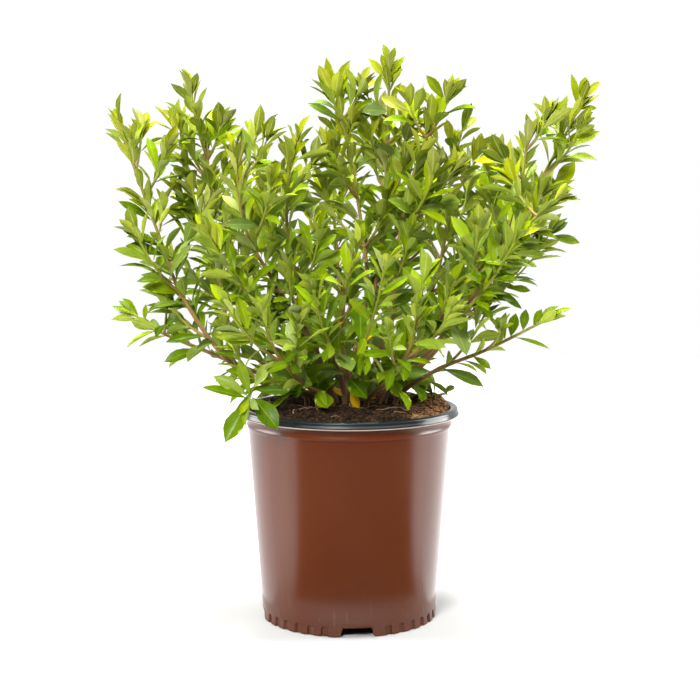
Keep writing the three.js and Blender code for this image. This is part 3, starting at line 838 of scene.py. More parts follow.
@dataclass
class PottingMix:
    """The mix that fills the pot: a rough mound with hollows under the foliage.

    A hollow is its place across and along, its width and its depth, below 0 for a heap; a deep
    hollow also gets painted shade. A lump is its size and its share of the roughness, and so is
    the grit.
    """

    pot: NurseryPot
    columns: int = 400
    top_rows: int = 105
    edge_height: float = 219.0
    mound: float = 6.0
    fit_gap: float = 0.5
    roughness: float = 2.2
    # Painted shade on the mix: its level, the step towards the right that lifts it as painted
    # light, and the hollow depth that gets it in full.
    shade: float = 0.83
    light_side_from: float = 52.0
    light_side_width: float = 20.0
    full_shade_depth: float = 8.0
    lumps: tuple[tuple[float, float], ...] = ((14.0, 0.55), (5.0, 0.45))
    grit: tuple[float, float] = (2.1, 0.35)
    hollows: tuple[tuple[float, float, float, float], ...] = (
        (-36.0, 38.0, 48.0, 14.0), (-30.0, -4.0, 32.0, 6.0), (48.0, 18.0, 30.0, 10.0),
        (12.0, -30.0, 20.0, 2.0), (92.0, 34.0, 27.0, -8.0), (-84.0, 30.0, 22.0, -3.0),
    )

    def height_at(self, x: np.ndarray, y: np.ndarray) -> np.ndarray:
        """The mix's surface.

        A heap falls with the sixth power of the distance from the middle. Noise in three sizes
        roughens it, and each hollow takes away a bell-shaped dent.

        Args:
            x: Places across the pot.
            y: Places along it.

        Returns:
            Heights.
        """
        share = (np.hypot(x, y) / self.pot.mouth) ** 6
        height = self.edge_height + self.mound * (1 - share)
        for seed, (size, part) in enumerate(self.lumps, start=1):
            height = height + self.roughness * part * lattice_noise(x / size, y / size, seed)
        size, part = self.grit
        height = height + self.roughness * part * np.abs(lattice_noise(x / size, y / size, 3))
        for across, along, size, depth in self.hollows:
            away = ((x - across) ** 2 + (y - along) ** 2) / size**2
            height = height - depth * np.exp(-away * 2)
        return height

    def painted_shade_at(self, x: np.ndarray, y: np.ndarray) -> np.ndarray:
        """How much painted shade the mix gets: 1 in the middle of a deep hollow, with ragged
        edges.

        Elsewhere it gets the shade level. Towards the right a smooth step takes it away, as
        painted light where the sun gets in.

        Args:
            x: Places across the pot.
            y: Places along it.

        Returns:
            Numbers from 0 to 1.
        """
        # Painted light: towards the right the painted shade is taken away.
        towards_light = (x - self.light_side_from) / self.light_side_width
        unshaded = smooth_step(towards_light + 0.5 * lattice_noise(x / 9, y / 9, 6))
        shading = self.shade * (1 - unshaded)
        # Deep hollows get painted shade, in full at their middle.
        for across, along, size, depth in self.hollows:
            away = ((x - across) ** 2 + (y - along) ** 2) / size**2
            ragged = away * (1 + 0.6 * lattice_noise(x / 6, y / 6, 5))
            hollow_shade = min(1.0, max(0.0, depth / self.full_shade_depth))
            shading = np.maximum(shading, np.exp(-ragged) * hollow_shade)
        return shading

    def add_painted_shade(self, surface: Surface) -> Surface:
        """Gives a surface the trait of painted shade from its vertices' places."""
        surface.traits["damp"] = self.painted_shade_at(surface.points[:, 0], surface.points[:, 1])
        return surface

    def build(self) -> None:
        """Makes the mix as one closed body that fills the pot."""
        gap = self.pot.wall + self.fit_gap
        floor = self.pot.channel + gap
        lower = self.pot.body_radius(floor) - gap - 1.5
        wall = [(lower * 0.5, floor), (lower, floor)]
        heights = np.linspace(floor + 8, self.edge_height - 6, 6)
        wall += [(self.pot.body_radius(height) - gap, height) for height in heights]
        edge = self.pot.body_radius(self.edge_height) - gap
        ring = edge * (1 - np.arange(self.top_rows) / self.top_rows)
        profile = np.concatenate([np.array(wall), np.stack([ring, 0 * ring], axis=1)])
        rings = revolved(profile, self.columns)
        top = rings[len(wall) :]
        top[..., 2] = self.height_at(top[..., 0], top[..., 1])
        peak = Z_AXIS * self.height_at(np.zeros(1), np.zeros(1))[0]
        surface = self.add_painted_shade(spindle(Z_AXIS * floor, rings, peak))
        finishes = (POTTING_COMPOST,)
        make_piece("potting_mix_body", surface, finishes, Slot.MIX, "potting_mix", crease=80)


@dataclass
class BarkLitter:
    """Loose bark chips, crumbs and rootlets that lie on the mix."""

    mix: PottingMix
    chips: int = 900
    reach: float = 101.0
    longest: float = 8.5
    chip_corners: int = 5
    chip_breadths: tuple[float, float] = (0.2, 0.42)
    chip_thicknesses: tuple[float, float] = (0.35, 0.7)
    roots: int = 26
    root_points: int = 14
    root_lengths: tuple[float, float] = (14.0, 40.0)
    root_radii: tuple[float, float] = (0.35, 0.7)

    def chip_surface(self, index: int) -> Surface:
        """One chip: a flattened spindle of two rings with five corners, each pushed in or out.

        Args:
            index: The chip's number, which seeds its place, size and turn.

        Returns:
            The chip, half sunk into the mix.
        """
        radius = self.reach * math.sqrt(draw(index, 11))
        angle = 2 * math.pi * draw(index, 12)
        x, y = radius * math.cos(angle), radius * math.sin(angle)
        length = self.longest * (0.22 + 0.78 * draw(index, 13) ** 3)
        breadth = length * lerp(*self.chip_breadths, draw(index, 14))
        thick = breadth * lerp(*self.chip_thicknesses, draw(index, 15))
        count = self.chip_corners
        corners = np.arange(count) * (2 * np.pi / count)
        rings = np.zeros((2, count, 3))
        for row, along in enumerate((-0.55, 0.5)):
            bumps = np.array([0.8 + 0.4 * draw(index, row, 20 + at) for at in range(count)])
            rings[row, :, 0] = along * (length / 2)
            rings[row, :, 1] = np.cos(corners) * bumps * breadth
            rings[row, :, 2] = np.sin(corners) * bumps * thick
        turn = 2 * math.pi * draw(index, 16)
        ahead = unit(np.array([math.cos(turn), math.sin(turn), math.sin(spread(0.5, index, 17))]))
        side = unit(np.cross(Z_AXIS, ahead))
        basis = np.stack([ahead, side, np.cross(ahead, side)])
        height = float(self.mix.height_at(np.array([x]), np.array([y]))[0])
        place = np.array([x, y, height + thick * 0.45])
        end = np.array([length / 2, 0.0, 0.0]) @ basis
        return self.mix.add_painted_shade(spindle(place - end, rings @ basis + place, place + end))

    def root_surface(self, index: int) -> Surface:
        """One rootlet: a thin tube along a wandering line on the mix.

        The line turns by two sines along its way, and its height is the mix's own.

        Args:
            index: The rootlet's number.

        Returns:
            The rootlet.
        """
        share = np.linspace(0, 1, self.root_points)
        radius = self.reach * 0.92 * math.sqrt(draw(index, 31))
        angle = 2 * math.pi * draw(index, 32)
        heading = 2 * math.pi * draw(index, 33) + 0.9 * np.sin(5 * share + index)
        step = lerp(*self.root_lengths, draw(index, 34)) / (self.root_points - 1)
        x = radius * math.cos(angle) + np.cumsum(np.cos(heading)) * step
        y = radius * math.sin(angle) + np.cumsum(np.sin(heading)) * step
        held = np.minimum(1.0, self.reach / np.maximum(np.hypot(x, y), 1.0))
        x, y = x * held, y * held
        lift = 0.4 + 1.6 * np.sin(np.pi * share) * draw(index, 35)
        line = np.stack([x, y, self.mix.height_at(x, y) + lift], axis=1)
        thickness = lerp(*self.root_radii, draw(index, 36)) * (1 - 0.5 * share)
        root = tube(line, thickness, 5, 0.6)
        root.finish[:] = 1
        return root

    def build(self) -> None:
        """Makes the chips and the rootlets as one piece."""
        parts = [self.chip_surface(index) for index in range(self.chips)]
        parts += [self.root_surface(index) for index in range(self.roots)]
        finishes = (BARK_CHIP, ROOTLET)
        make_piece("bark_litter", join_surfaces(parts), finishes, Slot.MIX, "", crease=50)


# ---- Plant -----------------------------------------------------------------------------------


@dataclass(frozen=True)
class BentPath:
    """A smooth line through points: between two of them a cubic with half the way from the one
    before to the one after as its slope. The line's ends mirror their neighbours."""

    knots: np.ndarray

    def at(self, shares: np.ndarray) -> np.ndarray:
        """Points at shares of the way, counted by knots.

        Args:
            shares: Numbers from 0 to 1.

        Returns:
            One point for each.
        """
        knots = self.knots
        padded = np.concatenate([[2 * knots[0] - knots[1]], knots, [2 * knots[-1] - knots[-2]]])
        place = np.asarray(shares, float) * (len(knots) - 1)
        piece = np.clip(np.floor(place).astype(int), 0, len(knots) - 2)
        way = (place - piece)[:, None]
        before, start, end, after = (padded[piece + shift] for shift in range(4))
        leave, arrive = 0.5 * (end - before), 0.5 * (after - start)
        bend = -3 * start + 3 * end - 2 * leave - arrive
        close = 2 * start - 2 * end + leave + arrive
        return start + leave * way + bend * way**2 + close * way**3


@dataclass(frozen=True)
class BowPath:
    """A line from start to end that bows towards a middle point: a parabola's arc."""

    start: np.ndarray
    middle: np.ndarray
    end: np.ndarray

    def at(self, shares: np.ndarray) -> np.ndarray:
        """Points at shares of the way: (1-t)^2 start + 2t(1-t) middle + t^2 end.

        Args:
            shares: Numbers from 0 to 1.

        Returns:
            One point for each.
        """
        share = np.asarray(shares, float)[:, None]
        rest = 1 - share
        return rest**2 * self.start + 2 * rest * share * self.middle + share**2 * self.end


@dataclass(frozen=True)
class Axis:
    """A stem or a shoot: its line, its thickness, and where its leaves grow."""

    path: BentPath | BowPath
    radii: tuple[float, float]
    rings: tuple[float, ...]
    bare: float
    gap: float
    keys: tuple[int, int]
    fullness: float = 1.0
    is_twig: bool = False
    skirt: float = 0.08

    def length(self) -> float:
        """The line's length, over 200 straight pieces."""
        points = self.path.at(np.linspace(0, 1, 201))
        return float(np.linalg.norm(np.diff(points, axis=0), axis=1).sum())

    def chord_frame(self, share: float) -> tuple[np.ndarray, np.ndarray]:
        """The point and the direction at a share of the way, on straight pieces between rings.

        Args:
            share: A number from 0 to 1.

        Returns:
            Both as vectors.
        """
        later = [index for index, ring in enumerate(self.rings) if ring >= share]
        following = max(1, later[0] if later else -1)
        low, high = self.rings[following - 1], self.rings[following]
        start, end = self.path.at(np.array([low, high]))
        point = start + (end - start) * ((share - low) / (high - low))
        return point, unit(end - start)


@dataclass(frozen=True)
class Leaf:
    """A leaf before it is placed: where it grows on its axis, and its form."""

    share: float
    turn: float
    length: float
    angle: float
    bend: float
    fold: float
    age: float
    keys: tuple[int, ...]
    aspect: float = 0.19
    twist: float = 0.0
    faded: float = 0.0


@dataclass(frozen=True)
class PlacedLeaf:
    """A leaf with its frame: it starts at root, points along out, and faces up."""

    leaf: Leaf
    root: np.ndarray
    out: np.ndarray
    up: np.ndarray

    def samples(self, sections: Sequence[tuple[float, float]]) -> np.ndarray:
        """Points of the blade that stand for it where leaves are kept apart, base first.

        Args:
            sections: Shares of the length, with the width there.

        Returns:
            Both edges and the middle of each section, or the middle alone at the tip.
        """
        places = [
            (along, side * width)
            for along, width in sections
            for side in ((-1, 0, 1) if width > 0 else (0,))
        ]
        along, width = np.array(places).T
        bend = math.radians(self.leaf.bend) * along
        arc = self.leaf.length / math.radians(self.leaf.bend)
        half = np.abs(width) * self.leaf.aspect * self.leaf.length
        fold = math.radians(self.leaf.fold)
        rise = half * math.sin(fold)
        forward = arc * np.sin(bend) + rise * np.sin(bend)
        upward = -arc * (1 - np.cos(bend)) + rise * np.cos(bend)
        sideways = np.sign(width) * half * math.cos(fold)
        point = self.root + forward[:, None] * self.out + upward[:, None] * self.up
        return point + sideways[:, None] * np.cross(self.out, self.up)


@dataclass
class Crowd:
    """Points of everything that has grown, so that new leaves keep clear of it."""

    points: np.ndarray = field(default_factory=lambda: np.zeros((0, 3)))
    owners: np.ndarray = field(default_factory=lambda: np.zeros(0, int))

    def add(self, points: np.ndarray, owner: int) -> None:
        """Adds the points of a stem's leaf or wood."""
        self.points = np.concatenate([self.points, points])
        self.owners = np.concatenate([self.owners, np.full(len(points), owner)])

    def is_clear(
        self, samples: np.ndarray, owner: int, base: int, other_gap: float, own_gap: float
    ) -> bool:
        """Whether samples keep their distance from everything.

        Args:
            samples: The new points.
            owner: The stem that they grow on.
            base: How many of the first samples may be near their own stem.
            other_gap: The least distance to another stem.
            own_gap: The least distance to their own.

        Returns:
            True if all are clear.
        """
        room = max(other_gap, own_gap)
        low, high = samples.min(axis=0) - room, samples.max(axis=0) + room
        close = np.all((self.points >= low) & (self.points <= high), axis=1)
        away = np.linalg.norm(samples[:, None] - self.points[close][None], axis=2)
        own = self.owners[close][None] == owner
        joined = own & (np.arange(len(samples)) < base)[:, None]
        return bool(np.all((away > np.where(own, own_gap, other_gap)) | joined))


@dataclass(frozen=True)
class Twig:
    """A thin young shoot: its tip in the picture, in pixels, and the tip's depth."""

    across: float
    down: float
    depth: float
    fullness: float = 1.0


@dataclass(frozen=True)
class StemPlan:
    """A stem's foot, how much of it is bare, the points it grows through, the tips of its shoots,
    and its twigs as rows of numbers."""

    name: str
    foot: tuple[float, float]
    bare: float
    route: tuple[tuple[float, float, float], ...]
    shoots: tuple[tuple[float, float, float], ...]
    twigs: tuple[tuple[float, ...], ...] = ()
    fullness: float = 1.0


STEMS = tuple(StemPlan("stem_" + name, *plan) for name, *plan in (
    ("left_outer", (-36, -4), 0.5,
     ((-112, -10, 258), (-168, -15, 331), (-193, -20, 398), (-233, -25, 514)),
     ((-212, -4, 500), (-186, -30, 478), (-212, -44, 400), (-150, 8, 425), (-190, 0, 332)),
     ((133, 146, -30, 0.7), (163, 210, -12))),
    ("left_second", (-26, 6), 0.4,
     ((-88, 14, 262), (-128, 26, 308), (-142, 36, 390), (-150, 44, 500)),
     ((-164, 38, 542), (-134, 24, 508), (-178, 66, 510), (-118, 74, 452), (-160, 2, 440),
      (-108, 6, 352)),
     ((172, 126, 44), (198, 122, 24), (186, 168, 20), (180, 196, 4), (224, 168, 10))),
    ("left_inner", (-20, -10), 0.4,
     ((-36, -22, 288), (-72, -38, 347), (-104, -56, 410), (-112, -66, 484)),
     ((-92, -50, 498), (-76, -88, 448), (-138, -74, 402), (-60, -72, 362)),
     ((266, 142, -55),)),
    ("centre_left", (-5, -11), 0.55,
     ((-16, -16, 278), (-45, -24, 339), (-62, -32, 398), (-60, -40, 478)),
     ((-38, -28, 470), (-84, -66, 420), (-30, -62, 400), (-70, -4, 452)),
     ((297, 140, -35),)),
    ("centre", (0, 3), 0.5,
     ((18, 8, 335), (12, 6, 415), (-11, 0, 538)),
     ((-17, 4, 540), (10, -6, 545), (-14, -22, 480), (38, -16, 430), (-26, 24, 440)),
     ((352, 126, -10),)),
    ("centre_front", (3, -22), 0.35,
     ((-6, -52, 285), (-4, -84, 345), (8, -108, 392)),
     ((34, -122, 372), (-34, -126, 350))),
    ("centre_tall", (10, 13), 0.5,
     ((24, 20, 320), (36, 20, 420), (42, 16, 571)),
     ((20, 6, 538), (58, 10, 510), (20, 40, 490), (56, -8, 470), (64, 34, 420)),
     ((369, 134, 0), (408, 138, -4), (382, 118, 58))),
    ("right_inner", (17, -6), 0.5,
     ((40, -10, 305), (56, -14, 425), (82, -18, 512)),
     ((98, -20, 532), (62, -24, 528), (84, -50, 460), (104, -4, 462), (60, -56, 400))),
    ("right_mid", (25, 14), 0.4,
     ((75, 28, 310), (100, 44, 385), (109, 56, 492)),
     ((92, 70, 500), (134, 46, 478), (128, 86, 440), (78, 78, 420), (138, 30, 400)),
     ((463, 127, 50, 0.7),)),
    ("right_arch", (34, -11), 0.5,
     ((90, -16, 288), (146, -24, 368), (170, -28, 432), (180, -32, 500)),
     ((196, -28, 512), (156, -30, 474), (142, -52, 430), (190, -60, 440))),
    ("right_outer", (39, 3), 0.5,
     ((74, 8, 260), (121, 12, 315), (152, 14, 370), (200, 18, 457), (242, 20, 537)),
     ((214, 30, 510), (234, -4, 505), (172, 34, 468), (216, 40, 440), (150, 46, 400)),
     ((548, 236, 24, 0.5),)),
    ("right_low_arch", (31, -24), 0.45,
     ((78, -44, 296), (115, -64, 352), (156, -84, 396), (202, -98, 438)),
     ((160, -116, 400), (124, -104, 404), (162, -72, 452), (98, -92, 350))),
    ("low_right", (50, -14), 0.35,
     ((90, -26, 262), (140, -36, 284), (200, -46, 316)),
     ((150, -64, 304), (140, -14, 320)),
     (), 0.4),
    ("low_left", (-47, 10), 0.35,
     ((-90, 20, 250), (-148, 26, 274), (-199, 30, 295), (-228, 34, 314)),
     ((-190, 8, 322), (-166, 54, 314), (-128, -6, 296)),
     (), 0.6),
    ("front_right", (19, -32), 0.35,
     ((40, -58, 256), (60, -90, 292), (66, -116, 328)),
     ((96, -112, 326), (38, -136, 306)),
     ((424, 276, -100),)),
    ("front_left_low", (-34, -26), 0.3,
     ((-62, -42, 244), (-96, -58, 258)),
     ((-118, -40, 288),),
     ((250, 399, -90, 0.5),)),
    ("front_left", (-19, -34), 0.35,
     ((-46, -58, 252), (-72, -88, 288), (-84, -108, 326)),
     ((-48, -124, 318), (-116, -104, 330))),
    ("back_left", (-16, 22), 0.4,
     ((-50, 66, 298), (-84, 112, 396), (-98, 136, 474)),
     ((-120, 150, 452), (-60, 148, 446), (-112, 100, 416), (-52, 138, 370)),
     ((286, 160, 84), (262, 196, 96), (298, 378, 84))),
    ("back_centre", (-2, 27), 0.4,
     ((-8, 84, 296), (-16, 132, 404), (-26, 150, 492)),
     ((4, 168, 470), (-44, 174, 412), (20, 172, 388)),
     ((338, 132, 92), (352, 176, 104), (342, 366, 70))),
    ("back_right", (14, 30), 0.4,
     ((46, 88, 298), (70, 134, 396), (86, 160, 488)),
     ((112, 156, 462), (56, 172, 454), (106, 122, 416), (44, 170, 368)),
     ((398, 142, 88), (420, 182, 104), (388, 376, 78))),
    ("back_far_right", (35, 23), 0.4,
     ((86, 70, 294), (132, 112, 376), (156, 134, 456)),
     ((182, 124, 434), (134, 152, 434), (150, 158, 368), (178, 90, 388)),
     ((492, 178, 92), (410, 380, 62))),
    ("back_far_left", (-33, 22), 0.4,
     ((-82, 70, 294), (-126, 112, 376), (-150, 130, 450)),
     ((-174, 122, 424), (-126, 154, 418), (-152, 158, 358), (-190, 98, 368)),
     ((212, 190, 92), (270, 372, 60))),
    ("back_low", (5, 40), 0.35,
     ((6, 88, 262), (2, 132, 316)),
     ((48, 140, 314), (-46, 136, 318)),
     ((322, 374, 92), (360, 376, 100))),
))


@dataclass(frozen=True)
class Picture:
    """The photograph's frame: 700 pixels square, seen from the camera's place."""

    pixels: int = 700
    eye: tuple[float, float, float] = (1.0, -1629.0, 467.0)
    tilt: float = 6.566
    lens: float = 81.2
    sensor: float = 36.0

    @property
    def focal(self) -> float:
        """The focal length in pixels."""
        return self.lens / self.sensor * self.pixels

    def place(self, across: float, down: float, depth: float) -> np.ndarray:
        """The point that a pixel shows at a depth.

        The ray's slope below the horizon is the tilt and the pixel's own angle. It drops by that
        slope over the distance, and goes sideways by the pixel's share of its length on the axis.

        Args:
            across: Pixels from the left.
            down: Pixels from the top.
            depth: The point's y, in millimetres.

        Returns:
            The point.
        """
        own = math.atan((down - self.pixels / 2) / self.focal)
        slope = math.radians(self.tilt) + own
        distance = depth - self.eye[1]
        on_axis = distance * math.cos(own) / math.cos(slope)
        x = self.eye[0] + (across - self.pixels / 2) / self.focal * on_axis
        return np.array([x, depth, self.eye[2] - distance * math.tan(slope)])

    def seen(self, points: np.ndarray) -> np.ndarray:
        """The pixels where points show.

        Args:
            points: One row each.

        Returns:
            Pixels across and down.
        """
        distance = points[:, 1] - self.eye[1]
        slope = np.arctan2(self.eye[2] - points[:, 2], distance)
        own = slope - math.radians(self.tilt)
        on_axis = distance * np.cos(own) / np.cos(slope)
        across = self.pixels / 2 + (points[:, 0] - self.eye[0]) / on_axis * self.focal
        return np.stack([across, self.pixels / 2 + np.tan(own) * self.focal], axis=1)


PICTURE = Picture()


@dataclass(frozen=True)
class SeenLeaf:
    """A leaf that the picture shows plainly, given by its root and its tip there, in pixels.

    Its root is the place on its stem's wood that shows nearest to the given one. The tip is
    `nearer` millimetres nearer to the camera than the root.
    """

    stem: str
    root: tuple[float, float]
    tip: tuple[float, float]
    nearer: float
    age: float
    aspect: float
    bend: float
    faded: float = 0.0


# Seen leaves look up and forwards.
SEEN_FACING = np.array([0.0, -0.75, 0.65])
SEEN_LEAVES = tuple(SeenLeaf("stem_" + stem, *row) for stem, *rows in (
    # The lowest leaves, which hang over the pot's lip or reach out over it.
    ("front_left_low", ((251, 402), (225, 443), 20, 0.9, 0.2, 16),
     ((261, 399), (278, 430), 22, 0.95, 0.23, 40), ((246, 398), (201, 387), 10, 0.6, 0.13, 12),
     ((258, 392), (272, 362), 12, 0.5, 0.18, 20), ((250, 397), (238, 360), 0, 0.7, 0.15, 20),
     ((244, 396), (213, 376), -6, 0.8, 0.16, 20)),
    # Left side.
    ("left_outer", ((160, 258), (125, 246), 8, 1.0, 0.2, 20),
     ((163, 249), (134, 233), 0, 0.5, 0.15, 14), ((149, 221), (118, 201), 0, 0.8, 0.13, 22),
     ((179, 296), (142, 287), 10, 0.8, 0.18, 50)),
    ("low_left", ((136, 323), (111, 306), 0, 0.4, 0.12, 10),
     ((142, 326), (146, 304), 0, 0.4, 0.16, 10), ((197, 356), (164, 362), 12, 0.9, 0.17, 24)),
    # Right side, from the top down.
    ("right_outer", ((579, 107), (571, 73), 0, 0.4, 0.12, 10),
     ((583, 101), (587, 79), 0, 0.0, 0.2, 8), ((586, 102), (600, 81), 0, 0.1, 0.16, 16),
     ((581, 113), (597, 108), 0, 0.3, 0.17, 10), ((562, 149), (596, 129), 0, 0.4, 0.16, 14),
     ((563, 187), (575, 161), 0, 0.4, 0.22, 16), ((520, 232), (558, 239), 6, 0.6, 0.13, 36),
     ((552, 236), (580, 243), 6, 0.6, 0.17, 12), ((553, 228), (568, 222), 0, 0.4, 0.2, 8),
     ((520, 257), (550, 241), 0, 0.3, 0.16, 20)),
    ("right_low_arch", ((472, 280), (511, 276), 16, 1.0, 0.19, 20)),
    ("right_outer", ((503, 286), (531, 291), 0, 0.4, 0.16, 16),
     ((495, 294), (522, 309), 0, 0.8, 0.12, 36)),
    ("low_right", ((512, 336), (550, 349), 0, 0.8, 0.07, 30),
     ((533, 326), (542, 309), 0, 0.3, 0.22, 10), ((522, 331), (526, 309), 0, 0.5, 0.22, 10),
     ((508, 335), (516, 313), 4, 0.5, 0.22, 14), ((504, 338), (498, 317), 0, 0.6, 0.2, 14),
     ((470, 354), (491, 369), 8, 0.7, 0.18, 24), ((437, 361), (484, 387), 16, 0.9, 0.15, 24)),
    # The top.
    ("centre_tall", ((388, 64), (383, 44), 0, 0.5, 0.2, 10),
     ((391, 64), (395, 47), 0, 0.1, 0.17, 10), ((386, 82), (368, 58), 0, 0.2, 0.15, 16),
     ((391, 76), (405, 56), 0, 0.3, 0.14, 14), ((389, 86), (401, 65), 0, 0.4, 0.24, 14)),
    ("centre", ((334, 105), (317, 70), 0, 0.4, 0.14, 16),
     ((332, 88), (326, 57), 0, 0.1, 0.12, 10), ((336, 88), (350, 60), 0, 0.2, 0.14, 14),
     ((336, 100), (348, 74), 0, 0.4, 0.24, 14), ((334, 108), (322, 84), 0, 0.3, 0.2, 14),
     ((336, 122), (307, 103), 0, 0.9, 0.15, 20)),
    ("right_inner", ((440, 100), (453, 74), 0, 0.3, 0.15, 14),
     ((434, 96), (426, 75), 0, 0.3, 0.16, 14), ((430, 122), (446, 96), 4, 0.5, 0.24, 16)),
    # Round the foot.
    ("centre_front", ((346, 368), (380, 374), 8, 1.0, 0.24, 20),
     ((352, 362), (378, 352), 4, 0.8, 0.2, 20)),
    ("right_inner", ((372, 378), (364, 397), 26, 0.7, 0.3, 26),
     ((378, 382), (394, 388), 12, 1.0, 0.22, 20)),
    ("right_arch", ((404, 352), (408, 377), 40, 0.5, 0.3, 20)),
    ("front_right", ((394, 378), (399, 398), 14, 0.3, 0.26, 20)),
    ("right_mid", ((388, 372), (386, 384), 20, 0.2, 0.26, 20)),
    ("centre_left", ((334, 364), (303, 384), 24, 0.6, 0.24, 26),
     ((336, 380), (309, 393), 8, 1.0, 0.2, 20), ((325, 336), (296, 354), 34, 0.5, 0.22, 24)),
    ("front_left", ((300, 372), (288, 392), 10, 0.8, 0.22, 24),
     ((296, 362), (266, 372), 10, 0.6, 0.2, 24)),
    ("low_left", ((290, 378), (270, 392), 30, 0.8, 0.2, 20),
     ((284, 376), (258, 384), 10, 1.0, 0.22, 20), ((276, 372), (262, 390), 14, 1.0, 0.24, 20)),
    ("front_left_low", ((262, 394), (290, 391), -6, 1.0, 0.2, 20),
     ((268, 392), (286, 396), -14, 1.0, 0.24, 20), ((256, 396), (246, 391), -12, 0.9, 0.26, 20)),
    ("front_left", ((304, 378), (296, 398), 0, 1.0, 0.24, 20)),
    ("left_outer", ((296, 376), (284, 396), 4, 1.0, 0.26, 20)),
    ("left_second", ((306, 372), (297, 393), 6, 1.0, 0.26, 20)),
    ("left_inner", ((322, 374), (314, 396), 4, 1.0, 0.24, 20)),
    ("back_far_left", ((310, 376), (280, 384), 8, 1.0, 0.26, 20)),
    ("back_right", ((372, 374), (392, 392), 6, 1.0, 0.26, 20)),
    ("back_far_right", ((384, 376), (410, 388), 6, 1.0, 0.24, 20)),
    ("right_outer", ((396, 374), (424, 372), 14, 0.9, 0.18, 20)),
    ("right_mid", ((392, 376), (380, 392), 24, 1.0, 0.26, 20)),
    ("right_arch", ((404, 378), (388, 386), 20, 1.0, 0.24, 20)),
    ("right_inner", ((384, 372), (402, 366), 16, 1.0, 0.24, 20)),
    ("centre_tall", ((360, 374), (376, 384), 22, 1.0, 0.24, 20)),
    ("centre_left", ((328, 372), (314, 384), 16, 1.0, 0.24, 20)),
    # Leaves that have turned yellow, deep in the bush and over the soil.
    ("centre_front", ((355, 388), (358, 411), 12, 0.5, 0.2, 20, 0.8)),
    ("centre_tall", ((358, 390), (376, 399), 18, 0.5, 0.24, 20, 0.95)),
    ("centre_left", ((345, 396), (332, 389), 10, 0.5, 0.24, 20, 0.9)),
    ("centre_front", ((346, 330), (337, 320), 12, 0.5, 0.24, 20, 0.8),
     ((356, 341), (373, 336), 14, 0.5, 0.15, 20, 0.8)),
) for row in rows)


@dataclass(frozen=True)
class Sprout:
    """A thin sprout that rises from the mix: its foot and tip in the picture, and its depth."""

    foot: tuple[float, float]
    tip: tuple[float, float]
    depth: float
    leaves: int


SPROUTS = (
    Sprout((436, 402), (435, 393), 14, 1), Sprout((425, 402), (424, 395), 10, 3),
    Sprout((431, 403), (432, 397), 6, 2), Sprout((418, 403), (416, 392), 18, 3),
    Sprout((442, 401), (443, 394), 22, 1), Sprout((404, 408), (400, 399), 4, 2),
)


